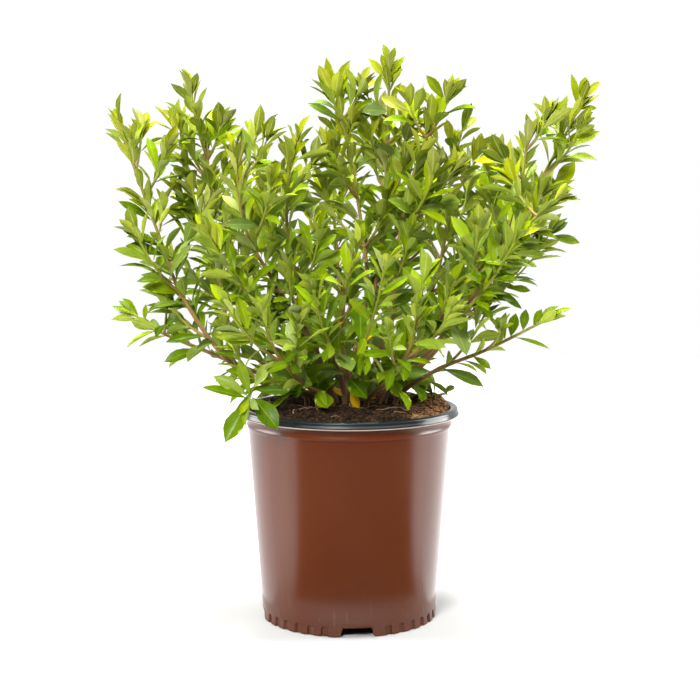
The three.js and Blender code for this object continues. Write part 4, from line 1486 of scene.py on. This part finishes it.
@dataclass
class BladeGrid:
    """The fine blade that every leaf shares: sections along it, points across it."""

    along: tuple[float, ...] = (0.0, 0.1, 0.25, 0.42, 0.6, 0.76, 0.88, 0.96, 1.0)
    across: tuple[float, ...] = (-1.0, -0.5, 0.0, 0.5, 1.0)
    thickness: float = 0.5
    rib: float = 0.35
    roll: float = 0.38
    edge_curl: float = 1.25
    edge_wave: float = 0.09
    edge_waves: tuple[float, float] = (0.6, 1.5)
    edge_shift: float = 1.3
    shade_low: float = 310.0
    shade_rise: float = 190.0
    shade_age: float = 0.55

    def template(self) -> tuple[np.ndarray, ...]:
        """One leaf's faces, and where its vertices lie on the grid.

        The upper and the lower face share their edge vertices, and each end is one vertex, so
        that the blade is closed.

        Returns:
            Corners, corners per face, the finish of each face (0 upper, 1 lower), and for each
            vertex its place in the upper grid followed by the lower one.
        """
        rows, columns = len(self.along), len(self.across)
        # Each grid place's vertex: the ends are one vertex, and the lower grid has the upper
        # one's edges.
        own = np.zeros((2, rows, columns), int)
        source = [0]
        for row in range(1, rows - 1):
            own[:, row] = len(source) + np.arange(columns)
            own[1, row, 1:-1] += columns - 1
            source += range(row * columns, (row + 1) * columns)
            source += range((rows + row) * columns + 1, (rows + row + 1) * columns - 1)
        own[:, -1] = len(source)
        source.append((rows - 1) * columns)
        faces = []
        for side, row, column in np.ndindex(2, rows - 1, columns - 1):
            near, far = own[side, row : row + 2, column : column + 2]
            face = list(dict.fromkeys([near[0], near[1], far[1], far[0]][:: 1 - 2 * side]))
            faces.append(face)
        finish = np.repeat([0, 1], len(faces) // 2)
        sizes = np.array([len(face) for face in faces])
        return np.concatenate(faces), sizes, finish, np.array(source)

    def width(self) -> np.ndarray:
        """The half width along the blade, 1 at its widest.

        It is the sine of half a turn over the length to the power 1.5, which puts the widest
        place at five eighths of the way. Its power 0.78 fills the half towards the base, and its
        power 1.2 points the tip. Near the base a bell curve takes most of it away, and leaves the
        stalk.

        Returns:
            One number for each section.
        """
        along = np.array(self.along)
        power = np.where(along < 0.63, 0.78, 1.2)
        body = np.abs(np.sin(np.pi * np.clip(along, 0, 1) ** 1.5)) ** power
        return body * (1 - 0.85 * np.exp(-((along / 0.14) ** 2))) * (along < 1)

    def surface(self, leaves: Sequence[PlacedLeaf]) -> Surface:
        """All blades of a stem.

        The midrib is an arc that bends back from the leaf's direction, as in the solid. From it,
        each half rises by the fold, with an edge that waves once or twice along its length, and
        the whole blade rolls a little about its midrib towards the tip. Low leaves are coloured
        darker and greener, partly as shade leaves grow and partly as painted shade: up to half of
        what a leaf lacks in age is added to it.

        Args:
            leaves: The leaves.

        Returns:
            One surface with the traits age, tint and faded.
        """
        corners, sizes, finish, source = self.template()
        count, vertices = len(leaves), len(source)
        along, across = np.array(self.along), np.array(self.across)
        root, out, up = (
            np.array([getattr(placed, name) for placed in leaves])[:, None]
            for name in ("root", "out", "up")
        )
        # Numbers of each leaf, shaped (leaf, section, place across).
        length, bend, fold, aspect, age, faded = (
            np.array([getattr(placed.leaf, name) for placed in leaves], float)[:, None, None]
            for name in ("length", "bend", "fold", "aspect", "age", "faded")
        )
        phase, rolled, waves, tint = (
            np.array([draw(*placed.leaf.keys, key) for placed in leaves])[:, None, None]
            for key in (41, 42, 43, 44)
        )
        bend, fold = np.radians(bend), np.radians(fold)
        angle, arc = bend * along[:, None], length / bend
        middle = root + out * (arc * np.sin(angle)) - up * (arc * (1 - np.cos(angle)))
        normal = turned(up, out, angle)
        lean = self.roll * (2 * rolled - 1) * along[:, None]
        side = np.cross(out, up)
        beside, upright = turned(side, normal, lean), turned(normal, -side, lean)
        half = aspect * length * self.width()[:, None]
        wave = np.sin(
            2 * np.pi * lerp(*self.edge_waves, waves) * along[:, None]
            + phase * 2 * np.pi
            + self.edge_shift * np.sign(across)
        )
        height = np.abs(across) ** self.edge_curl * half * np.sin(fold)
        height += self.edge_wave * across**2 * half * wave
        thin = np.minimum(1, 0.3 + 3 * (1 - along))[:, None]
        half_thick = 0.5 * self.thickness * (1 - across**2) * thin
        rib = self.rib * (np.abs(across) < 0.01) * (1 - along)[:, None]
        spanned = across * half * np.cos(fold)
        flat = middle[:, :, None] + beside[:, :, None] * spanned[..., None]
        grids = [
            (flat + upright[:, :, None] * lift[..., None]).reshape(count, -1, 3)
            for lift in (height + half_thick, height - half_thick - rib)
        ]
        points = np.concatenate(grids, axis=1)[:, source].reshape(-1, 3)
        place = np.stack(np.meshgrid((across + 1) / 2, along), axis=-1).reshape(-1, 2)
        uv = np.concatenate([place, place])[source]
        uv[[0, -1], 0] = 0.5
        # Painted shade: low leaves are coloured as older, darker leaves.
        lit = smooth_step((root[..., 2:] - self.shade_low) / self.shade_rise)
        age = age + (1 - age) * self.shade_age * (1 - lit)
        traits = {
            name: np.repeat(values.ravel(), vertices)
            for name, values in (("age", age), ("tint", tint), ("faded", faded))
        }
        all_corners = (corners + np.arange(count)[:, None] * vertices).ravel()
        tiled = (np.tile(sizes, count), np.tile(finish, count), np.tile(uv, (count, 1)))
        return Surface(points, all_corners, *tiled, traits)


@dataclass(frozen=True)
class Spreads:
    """How far leaves stray from the rule, to both sides."""

    share: float
    turn: float
    length: float
    angle: float
    twist: float


@dataclass
class Bush:
    """The shrub: stems, side shoots and leaves.

    The first leaves grow by the rule that the solids follow, so they stand where the solids'
    leaves stand. Then each stem and shoot gets the younger and smaller leaves between them.
    """

    pot: NurseryPot
    mix: PottingMix
    foot_height: float = 200.0
    knee_height: float = 232.0
    stem_radii: tuple[float, float] = (3.2, 1.2)
    stem_rings: tuple[float, ...] = (0, 0.16, 0.33, 0.5, 0.67, 0.84, 1)
    shoot_radii: tuple[float, float] = (1.6, 1.1)
    shoot_rings: tuple[float, ...] = (0.08, 0.5, 1)
    twig_radii: tuple[float, float] = (1.1, 0.7)
    shoot_bare: float = 0.3
    shoot_rise: float = 1.25
    shoot_min_rise: float = 22.0
    shoot_bow: tuple[float, float, float] = (0.2, 0.2, -0.08)
    first_shoot: int = 9
    path_samples: int = 24
    stem_gap: float = 60.0
    shoot_gap: float = 50.0
    leaf_lengths: tuple[float, float] = (31.0, 47.0)
    leaf_angles: tuple[float, float] = (19.0, 55.0)
    leaf_bends: tuple[float, float] = (8.0, 38.0)
    leaf_spreads: Spreads = Spreads(share=0.02, turn=22.0, length=0.18, angle=9.0, twist=35.0)
    leaf_gaps: tuple[float, float] = (6.0, 3.0)
    leaf_folds: tuple[float, float] = (28.0, 13.0)
    leaf_root: float = 0.25
    upright: float = 0.4
    whorl_turn: float = 73.0
    tip_place: float = 0.97
    tries: tuple[float, ...] = (0, 28, -28, 56, -56)
    sections: tuple[tuple[float, float], ...] = ((0.3, 0.6), (0.5, 0.93), (0.75, 0.9), (1, 0))
    pot_clearance: float = 4.0
    mix_edge: float = 217.0
    mix_mound: float = 8.0
    mix_bump: float = 2.0
    seen_fold: float = 16.0
    fine_gap: float = 12.0
    fine_spreads: Spreads = Spreads(share=0.03, turn=40.0, length=0.22, angle=14.0, twist=55.0)
    fine_gaps: tuple[float, float] = (2.2, 1.8)
    fine_lengths: tuple[float, float] = (25.0, 41.0)
    fine_angles: tuple[float, float] = (18.0, 50.0)
    fine_bends: tuple[float, float] = (8.0, 34.0)
    fine_folds: tuple[float, float] = (28.0, 15.0)
    fine_aspects: tuple[float, float] = (0.12, 0.21)
    tuft_size: int = 3
    tuft_lengths: tuple[float, float] = (18.0, 32.0)
    tuft_angles: tuple[float, float] = (6.0, 30.0)
    tuft_bends: tuple[float, float] = (4.0, 24.0)
    tuft_aspects: tuple[float, float] = (0.16, 0.2)
    fine_sides: int = 8
    fine_rings: int = 30
    fine_bud: float = 3.0
    joint_swell: float = 0.1
    stem_wood: tuple[float, float] = (1.0, 0.3)
    shoot_wood: tuple[float, float] = (0.6, 0.05)
    sprout_radii: tuple[float, float] = (0.9, 0.5)
    sprout_shares: tuple[float, float] = (0.55, 1.0)
    sprout_lengths: tuple[float, float] = (15.0, 24.0)
    sprout_angles: tuple[float, float] = (60.0, 15.0)

    def axes_of(self, number: int, plan: StemPlan) -> list[Axis]:
        """The stem's own axis and its shoots'.

        A shoot leaves the stem where the rise that is left to its tip fits its reach best. Its
        middle stands out and hangs a little.

        Args:
            number: The stem's place in the list.
            plan: The stem.

        Returns:
            The axes, the stem's first.
        """
        x, y = plan.foot
        knots = [(x, y, self.foot_height), (x, y, self.knee_height), *plan.route]
        main = Axis(
            BentPath(np.array(knots, float)), self.stem_radii, self.stem_rings, plan.bare,
            self.stem_gap, (number, 0), plan.fullness, skirt=0.15 if y > 15 else -0.02,
        )
        axes = [main]
        shoots = [(np.array(tip, float), self.shoot_radii, plan.fullness) for tip in plan.shoots]
        for row in plan.twigs:
            twig = Twig(*row)
            tip = PICTURE.place(twig.across, twig.down, twig.depth)
            shoots.append((tip, self.twig_radii, twig.fullness))
        steps = range(self.first_shoot, self.path_samples)
        points = [main.chord_frame(step / self.path_samples)[0] for step in steps]
        for index, (tip, radii, fullness) in enumerate(shoots):
            misses = [
                abs(
                    tip[2] - point[2]
                    - max(self.shoot_min_rise, self.shoot_rise * math.hypot(*(tip - point)[:2]))
                )
                for point in points
            ]
            start = points[misses.index(min(misses))]
            middle = (start + tip) / 2 + (tip - start) * np.array(self.shoot_bow)
            axes.append(
                Axis(
                    BowPath(start, middle, tip), radii, self.shoot_rings, self.shoot_bare,
                    self.shoot_gap, (number, index + 1), fullness, index >= len(plan.shoots),
                )
            )
        return axes

    def main_leaves(self, axis: Axis) -> list[Leaf]:
        """The leaves that the solids have too, oldest first.

        Args:
            axis: The stem or shoot.

        Returns:
            Whorls of two, and of three at the tip, each turned from the last.
        """
        if axis.is_twig:
            return []
        whorls = max(1, math.floor(axis.length() * (1 - axis.bare) / axis.gap + 0.5))
        leaves = []
        spreads = self.leaf_spreads
        for whorl in range(whorls):
            age = 1 - whorl / (whorls - 1) if whorls > 1 else 0.0
            grown = math.sqrt(age)
            count = 3 if age == 0 else 2
            for number in range(count):
                keys = (*axis.keys, whorl, number)
                size = 1 + spread(spreads.length, *keys, 1)
                turn = whorl * self.whorl_turn + number * 360 / count
                leaves.append(Leaf(
                    share=lerp(self.tip_place, axis.bare, age) + spread(spreads.share, *keys, 0),
                    turn=turn + spread(spreads.turn, *keys, 2),
                    length=lerp(*self.leaf_lengths, grown) * size,
                    angle=lerp(*self.leaf_angles, grown) + spread(spreads.angle, *keys, 3),
                    bend=lerp(*self.leaf_bends, age) * (0.5 + draw(*keys, 4)),
                    fold=lerp(*self.leaf_folds, grown),
                    age=age,
                    keys=keys,
                    twist=spread(spreads.twist, *keys, 6),
                ))
        return leaves

    def fine_leaves(self, axis: Axis) -> list[Leaf]:
        """The leaves between the main ones: pairs every 12 mm or so, and a tuft at the tip.

        Args:
            axis: The stem or shoot.

        Returns:
            The leaves, oldest first.
        """
        bare = axis.bare - axis.skirt
        whorls = max(2, round(axis.length() * (1 - bare) / self.fine_gap))
        leaves = []
        spreads = self.fine_spreads
        for whorl in range(whorls):
            age = 1 - (whorl + 0.5) / whorls
            grown = math.sqrt(age)
            for number in range(2 + (draw(*axis.keys, whorl, 60) > 0.45)):
                keys = (*axis.keys, whorl + 50, number)
                if draw(*keys, 61) > axis.fullness:
                    continue
                size = 1 + spread(spreads.length, *keys, 1)
                turn = whorl * self.whorl_turn + number * 150
                leaves.append(Leaf(
                    share=lerp(0.96, bare, age) + spread(spreads.share, *keys, 0),
                    turn=turn + spread(spreads.turn, *keys, 2),
                    length=lerp(*self.fine_lengths, grown) * size,
                    angle=lerp(*self.fine_angles, grown) + spread(spreads.angle, *keys, 3),
                    bend=lerp(*self.fine_bends, age) * (0.4 + 1.3 * draw(*keys, 4)),
                    fold=lerp(*self.fine_folds, grown),
                    age=age,
                    keys=keys,
                    aspect=lerp(*self.fine_aspects, draw(*keys, 5)),
                    twist=spread(spreads.twist, *keys, 6),
                ))
        for number in range(self.tuft_size):
            keys = (*axis.keys, 98, number)
            leaves.append(Leaf(
                share=0.995 - 0.02 * draw(*keys, 0),
                turn=number * GOLDEN_ANGLE + spread(20, *keys, 2),
                length=lerp(*self.tuft_lengths, draw(*keys, 1)),
                angle=lerp(*self.tuft_angles, draw(*keys, 3)),
                bend=lerp(*self.tuft_bends, draw(*keys, 4)),
                fold=26,
                age=0.0,
                keys=keys,
                aspect=lerp(*self.tuft_aspects, draw(*keys, 5)),
                twist=spread(40, *keys, 6),
            ))
        return leaves

    def placed(self, axis: Axis, leaf: Leaf, extra_turn: float) -> PlacedLeaf:
        """A leaf in its place.

        It starts a quarter of the shoot's radius off the axis, points away at its angle, and its
        upper face looks between the shoot's tip and the sky.

        Args:
            axis: What it grows on.
            leaf: The leaf.
            extra_turn: Degrees that it gives way round the shoot.

        Returns:
            The placed leaf.
        """
        point, ahead = axis.chord_frame(leaf.share)
        deep = unit(Y_AXIS - (ahead @ Y_AXIS) * ahead)
        away = turned(deep, np.cross(ahead, deep), math.radians(leaf.turn + extra_turn))
        root = point + away * self.leaf_root * lerp(*axis.radii, leaf.share)
        out = turned(ahead, away, math.radians(leaf.angle))
        facing = ahead * (1 - self.upright) + Z_AXIS * self.upright
        level = unit(facing - (facing @ out) * out)
        up = turned(level, np.cross(out, level), math.radians(leaf.twist))
        return PlacedLeaf(leaf, root, out, up)

    def clear_of_pot(self, points: np.ndarray) -> bool:
        """Whether points are outside the lip or above the mix and the lip.

        Args:
            points: One row each.

        Returns:
            True if all are.
        """
        radius = np.hypot(points[:, 0], points[:, 1])
        mound = self.mix_edge + self.mix_mound * (1 - (radius / self.pot.mouth) ** 3)
        inside = self.pot.mouth - self.pot_clearance
        under = np.where(radius > inside, self.pot.height, mound + self.mix_bump)
        outside = radius > self.pot.lip_radius + self.pot_clearance
        return bool(np.all(outside | (points[:, 2] > under + self.pot_clearance)))

    def grow(self, axes: Sequence[Sequence[Axis]]) -> list[list[PlacedLeaf]]:
        """Places every leaf, each turned round its shoot until it is clear of the others.

        Args:
            axes: Each stem's axes.

        Returns:
            Each stem's leaves.
        """
        crowd = Crowd()
        grown: list[list[PlacedLeaf]] = [[] for _ in axes]
        # Of a leaf's samples, three stand at its first section, and the next three at its second.
        rounds: tuple[tuple[bool, Callable[[Axis], list[Leaf]], int, tuple[float, float]], ...] = (
            (False, self.main_leaves, 3, self.leaf_gaps),
            (True, self.fine_leaves, 6, self.fine_gaps),
        )
        for twigs, leaves_of, base, gaps in rounds:
            for owner, own_axes in enumerate(axes):
                for axis in own_axes:
                    if axis.is_twig == twigs:
                        crowd.add(axis.path.at(np.linspace(0, 1, self.path_samples + 1)), owner)
            if twigs:
                self.add_seen(axes, grown, crowd)
            jobs = [
                (owner, axis, leaf)
                for owner, own_axes in enumerate(axes)
                for axis in own_axes
                for leaf in leaves_of(axis)
            ]
            for owner, axis, leaf in jobs:
                for extra_turn in self.tries:
                    candidate = self.placed(axis, leaf, extra_turn)
                    samples = candidate.samples(self.sections)
                    if self.clear_of_pot(samples) and crowd.is_clear(samples, owner, base, *gaps):
                        grown[owner].append(candidate)
                        crowd.add(samples, owner)
                        break
        return grown

    def add_seen(
        self, axes: Sequence[Sequence[Axis]], grown: list[list[PlacedLeaf]], crowd: Crowd
    ) -> None:
        """Places the leaves that the picture shows plainly.

        With a bend B over the whole leaf, its arc leaves the root at half of B to one side of
        the chord, and is B / 2 / sin(B / 2) times as long as it.

        Args:
            axes: Each stem's axes.
            grown: Each stem's leaves, which get the new ones.
            crowd: The points of what has grown, which gets theirs.
        """
        names = [plan.name for plan in STEMS]
        shares = np.linspace(0.2, 1, 81)
        for index, seen in enumerate(SEEN_LEAVES):
            owner = names.index(seen.stem)
            wood = np.concatenate([axis.path.at(shares) for axis in axes[owner]])
            away = np.linalg.norm(PICTURE.seen(wood) - np.array(seen.root), axis=1)
            root = wood[away.argmin()]
            chord = PICTURE.place(*seen.tip, root[1] - seen.nearer) - root
            straight = unit(chord)
            level = unit(SEEN_FACING - (SEEN_FACING @ straight) * straight)
            half = math.radians(seen.bend) / 2
            length = float(np.linalg.norm(chord)) * half / math.sin(half)
            leaf = Leaf(
                1.0, 0.0, length, 0.0, seen.bend, self.seen_fold, seen.age, (owner, 90, index),
                aspect=seen.aspect, faded=seen.faded,
            )
            out, up = turned(straight, level, half), turned(level, -straight, half)
            grown[owner].append(PlacedLeaf(leaf, root, out, up))
            crowd.add(grown[owner][-1].samples(self.sections), owner)

    def wood_surface(self, axis: Axis, wood: tuple[float, float]) -> Surface:
        """One stem or shoot as a tapered tube, thicker at its leaf joints.

        The joints are a raised cosine to the power 8, one at each whorl of fine leaves, and add a
        tenth to the radius.

        Args:
            axis: The axis.
            wood: How woody it is at its foot and at its tip.

        Returns:
            The tube with the trait wood.
        """
        share = np.linspace(0, 1, self.fine_rings)
        joints = (0.5 + 0.5 * np.cos(2 * np.pi * share * axis.length() / self.fine_gap)) ** 8
        radii = lerp(*axis.radii, share) * (1 + self.joint_swell * joints)
        surface = tube(axis.path.at(share), radii, self.fine_sides, self.fine_bud)
        trait = lerp(*wood, share)
        ring = np.repeat(trait, self.fine_sides)
        surface.traits["wood"] = np.concatenate([trait[:1], ring, trait[-1:]])
        surface.finish[:] = 2
        return surface

    def build(self) -> None:
        """Makes one piece for each stem, with its shoots and leaves, and one of the sprouts."""
        axes = [self.axes_of(number, plan) for number, plan in enumerate(STEMS)]
        blade = BladeGrid()
        finishes = (LEAF_UPPER, LEAF_LOWER, BARK)
        for plan, (stem, *shoots), leaves in zip(STEMS, axes, self.grow(axes)):
            wood = [self.wood_surface(stem, self.stem_wood)]
            wood += [self.wood_surface(shoot, self.shoot_wood) for shoot in shoots]
            surface = join_surfaces([blade.surface(leaves), *wood])
            make_piece("leafy_" + plan.name, surface, finishes, Slot.STEM, plan.name, crease=62)
        parts = []
        for number, sprout in enumerate(SPROUTS):
            parts += self.sprout(number, sprout, blade)
        make_piece("sprouts", join_surfaces(parts), finishes, Slot.STEM, "", crease=62)

    def sprout(self, number: int, sprout: Sprout, blade: BladeGrid) -> list[Surface]:
        """A thin sprout that rises from the mix.

        Args:
            number: Its place in the list.
            sprout: The sprout.
            blade: The blade that leaves share.

        Returns:
            Its wood and its leaves.
        """
        foot, tip = (PICTURE.place(*place, sprout.depth) for place in (sprout.foot, sprout.tip))
        foot[2] = float(self.mix.height_at(foot[:1], foot[1:2])[0]) - 2
        bend = np.array([spread(4, number, 71), spread(4, number, 72), 4.0])
        path = BowPath(foot, (foot + tip) / 2 + bend, tip)
        axis = Axis(path, self.sprout_radii, (0.0, 0.5, 1.0), 0.4, 1.0, (90, number))
        leaves = []
        for index in range(sprout.leaves):
            up = (index + 1) / sprout.leaves
            keys = (90, number, index)
            leaf = Leaf(
                share=lerp(*self.sprout_shares, up),
                turn=index * GOLDEN_ANGLE + 90,
                length=lerp(*self.sprout_lengths, draw(*keys)),
                angle=lerp(*self.sprout_angles, up),
                bend=24.0,
                fold=14.0,
                age=0.8,
                keys=keys,
                aspect=0.17,
                twist=spread(40, *keys, 6),
            )
            leaves.append(self.placed(axis, leaf, 0.0))
        return [self.wood_surface(axis, self.shoot_wood), blade.surface(leaves)]


# ---- Studio ----------------------------------------------------------------------------------


@dataclass(frozen=True)
class Softbox:
    """A square soft light that looks at the plant."""

    name: str
    place: tuple[float, float, float]
    size: float
    watts: float

    def build(self, target: tuple[float, float, float]) -> None:
        """Makes the light.

        Args:
            target: Where it looks, in metres.
        """
        lamp = bpy.data.lights.new(self.name, "AREA")
        lamp.shape, lamp.size, lamp.energy = "SQUARE", self.size, self.watts
        holder = bpy.data.objects.new(self.name, lamp)
        holder.location = self.place
        direction = Vector(target) - Vector(self.place)
        holder.rotation_euler = direction.to_track_quat("-Z", "Y").to_euler()
        bpy.context.scene.collection.objects.link(holder)


def stage_object(
    name: str, points: np.ndarray, faces: list[list[int]], material: bpy.types.Material
) -> bpy.types.Object:
    """Makes a thing of the studio, which isn't part of the plant.

    Args:
        name: Its name.
        points: Its vertices, in metres.
        faces: Its faces.
        material: Its material.

    Returns:
        The object.
    """
    mesh = bpy.data.meshes.new(name)
    mesh.from_pydata(points.tolist(), [], faces)
    mesh.materials.append(material)
    made = bpy.data.objects.new(name, mesh)
    bpy.context.scene.collection.objects.link(made)
    return made


@dataclass(frozen=True)
class Card:
    """A card bent round the plant: black where it has no glow, else lit from within.

    The camera doesn't see it. One that isn't solid is seen in reflections only. It is a part of a
    cone: its corners stand at even turns, at two radii and heights. Turns are counted in degrees
    from the front towards the right.
    """

    name: str
    rims: tuple[tuple[float, float], tuple[float, float]]
    turns: tuple[float, float]
    glow: float
    solid: bool = False
    corners: int = 25

    def material(self) -> bpy.types.Material:
        """Black paint, or an even glow.

        Returns:
            The card's material.
        """
        if not self.glow:
            return BLACK_PAINT.material()
        made = bpy.data.materials.new(self.name)
        made.use_nodes = True
        tree = made.node_tree
        tree.nodes.clear()
        light = {"Color": WHITE_LIGHT, "Strength": self.glow}
        add_node(tree, "OutputMaterial", {"Surface": add_node(tree, "Emission", light)})
        return made

    def build(self) -> None:
        """Makes the card."""
        turn = np.radians(np.linspace(*self.turns, self.corners))
        around = np.stack([np.sin(turn), -np.cos(turn)], axis=1)
        rims = [
            np.column_stack([around * radius, np.full(self.corners, height)])
            for radius, height in self.rims
        ]
        base = np.arange(self.corners - 1)[:, None]
        faces = base + np.array([0, 1, self.corners + 1, self.corners])
        card = stage_object(self.name, np.concatenate(rims), faces.tolist(), self.material())
        card.visible_camera = False
        card.visible_diffuse = card.visible_transmission = card.visible_shadow = self.solid


@dataclass
class Studio:
    """A white floor under a bright sky of white cloth, soft lights, and the camera."""

    floor_radius: float = 2400.0
    floor_columns: int = 128
    floor_top: float = -0.4
    floor_depth: float = -20.0
    sky_glow: tuple[float, float] = (1.0, 1.2)
    target: tuple[float, float, float] = (0.0, 0.0, 0.33)
    cards: tuple[Card, ...] = (
        Card("card_front", ((0.85, 0.08), (0.85, 0.5)), (-62.0, 62.0), 0.0, True),
        Card("card_floor_front", ((0.165, 0.001), (0.95, 0.001)), (-58.0, 74.0), 0.0),
        Card("card_floor_right", ((0.13, 0.001), (1.3, 0.001)), (90.0, 175.0), 2.5),
        Card("card_floor_left", ((0.13, 0.001), (1.3, 0.001)), (-175.0, -84.0), 1.9),
        Card("card_front_high", ((2.0, 1.15), (2.0, 1.75)), (-54.0, 80.0), 3.8),
        Card("card_front_dark", ((2.3, 0.0), (2.3, 2.8)), (-75.0, 75.0), 0.0),
    )
    lights: tuple[Softbox, ...] = (
        Softbox("softbox_top", (0.0, 0.2, 2.2), 0.9, 185.0),
        Softbox("softbox_left", (-2.0, 0.5, 1.0), 1.5, 78.0),
        Softbox("softbox_right", (2.0, 0.5, 1.0), 1.5, 90.0),
        Softbox("softbox_front", (-0.6, -2.2, 1.7), 0.8, 130.0),
    )

    def sky(self) -> None:
        """White cloth all round, brighter above."""
        world = bpy.data.worlds.new("white_cloth")
        world.use_nodes = True
        tree = world.node_tree
        tree.nodes.clear()
        way = add_node(tree, "TexCoord").outputs["Generated"]
        height = add_node(tree, "SeparateXYZ", {0: way}).outputs["Z"]
        low, high = self.sky_glow
        glow = add_node(tree, "MapRange", {"Value": height, 1: 0.0, 2: 1.0, 3: low, 4: high})
        light = {"Color": WHITE_LIGHT, "Strength": glow}
        add_node(tree, "OutputWorld", {"Surface": add_node(tree, "Background", light)})
        bpy.context.scene.world = world

    def floor(self) -> None:
        """A round white floor, one ring of corners and a middle."""
        rings = revolved(np.array([[self.floor_radius, self.floor_top]]), self.floor_columns)
        surface = spindle(Z_AXIS * self.floor_depth, rings, Z_AXIS * self.floor_top)
        faces = surface.corners.reshape(-1, 3).tolist()
        stage_object("studio_floor", surface.points * MM, faces, WHITE_PAINT.material())

    def camera(self) -> None:
        """The photograph's camera."""
        data = bpy.data.cameras.new("camera")
        data.lens, data.sensor_width = PICTURE.lens, PICTURE.sensor
        holder = bpy.data.objects.new("camera", data)
        holder.location = [value * MM for value in PICTURE.eye]
        holder.rotation_euler = (math.radians(90 - PICTURE.tilt), 0.0, 0.0)
        bpy.context.scene.collection.objects.link(holder)
        bpy.context.scene.camera = holder

    def build(self) -> None:
        """Makes the whole studio, with colours shown as they are."""
        bpy.context.scene.view_settings.view_transform = "Standard"
        self.sky()
        self.floor()
        for card in self.cards:
            card.build()
        for light in self.lights:
            light.build(self.target)
        self.camera()


def write_sizes() -> None:
    """Updates the view layer."""
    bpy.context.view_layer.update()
    LOG.info("sizes written")


def main() -> None:
    """Builds the studio, the pot, the mix and the bush, in this order."""
    logging.basicConfig(level=logging.INFO, format="%(name)s: %(message)s")
    Studio().build()
    pot = NurseryPot()
    pot.build()
    mix = PottingMix(pot)
    mix.build()
    BarkLitter(mix).build()
    Bush(pot, mix).build()
    write_sizes()


if __name__ == "__main__":
    main()
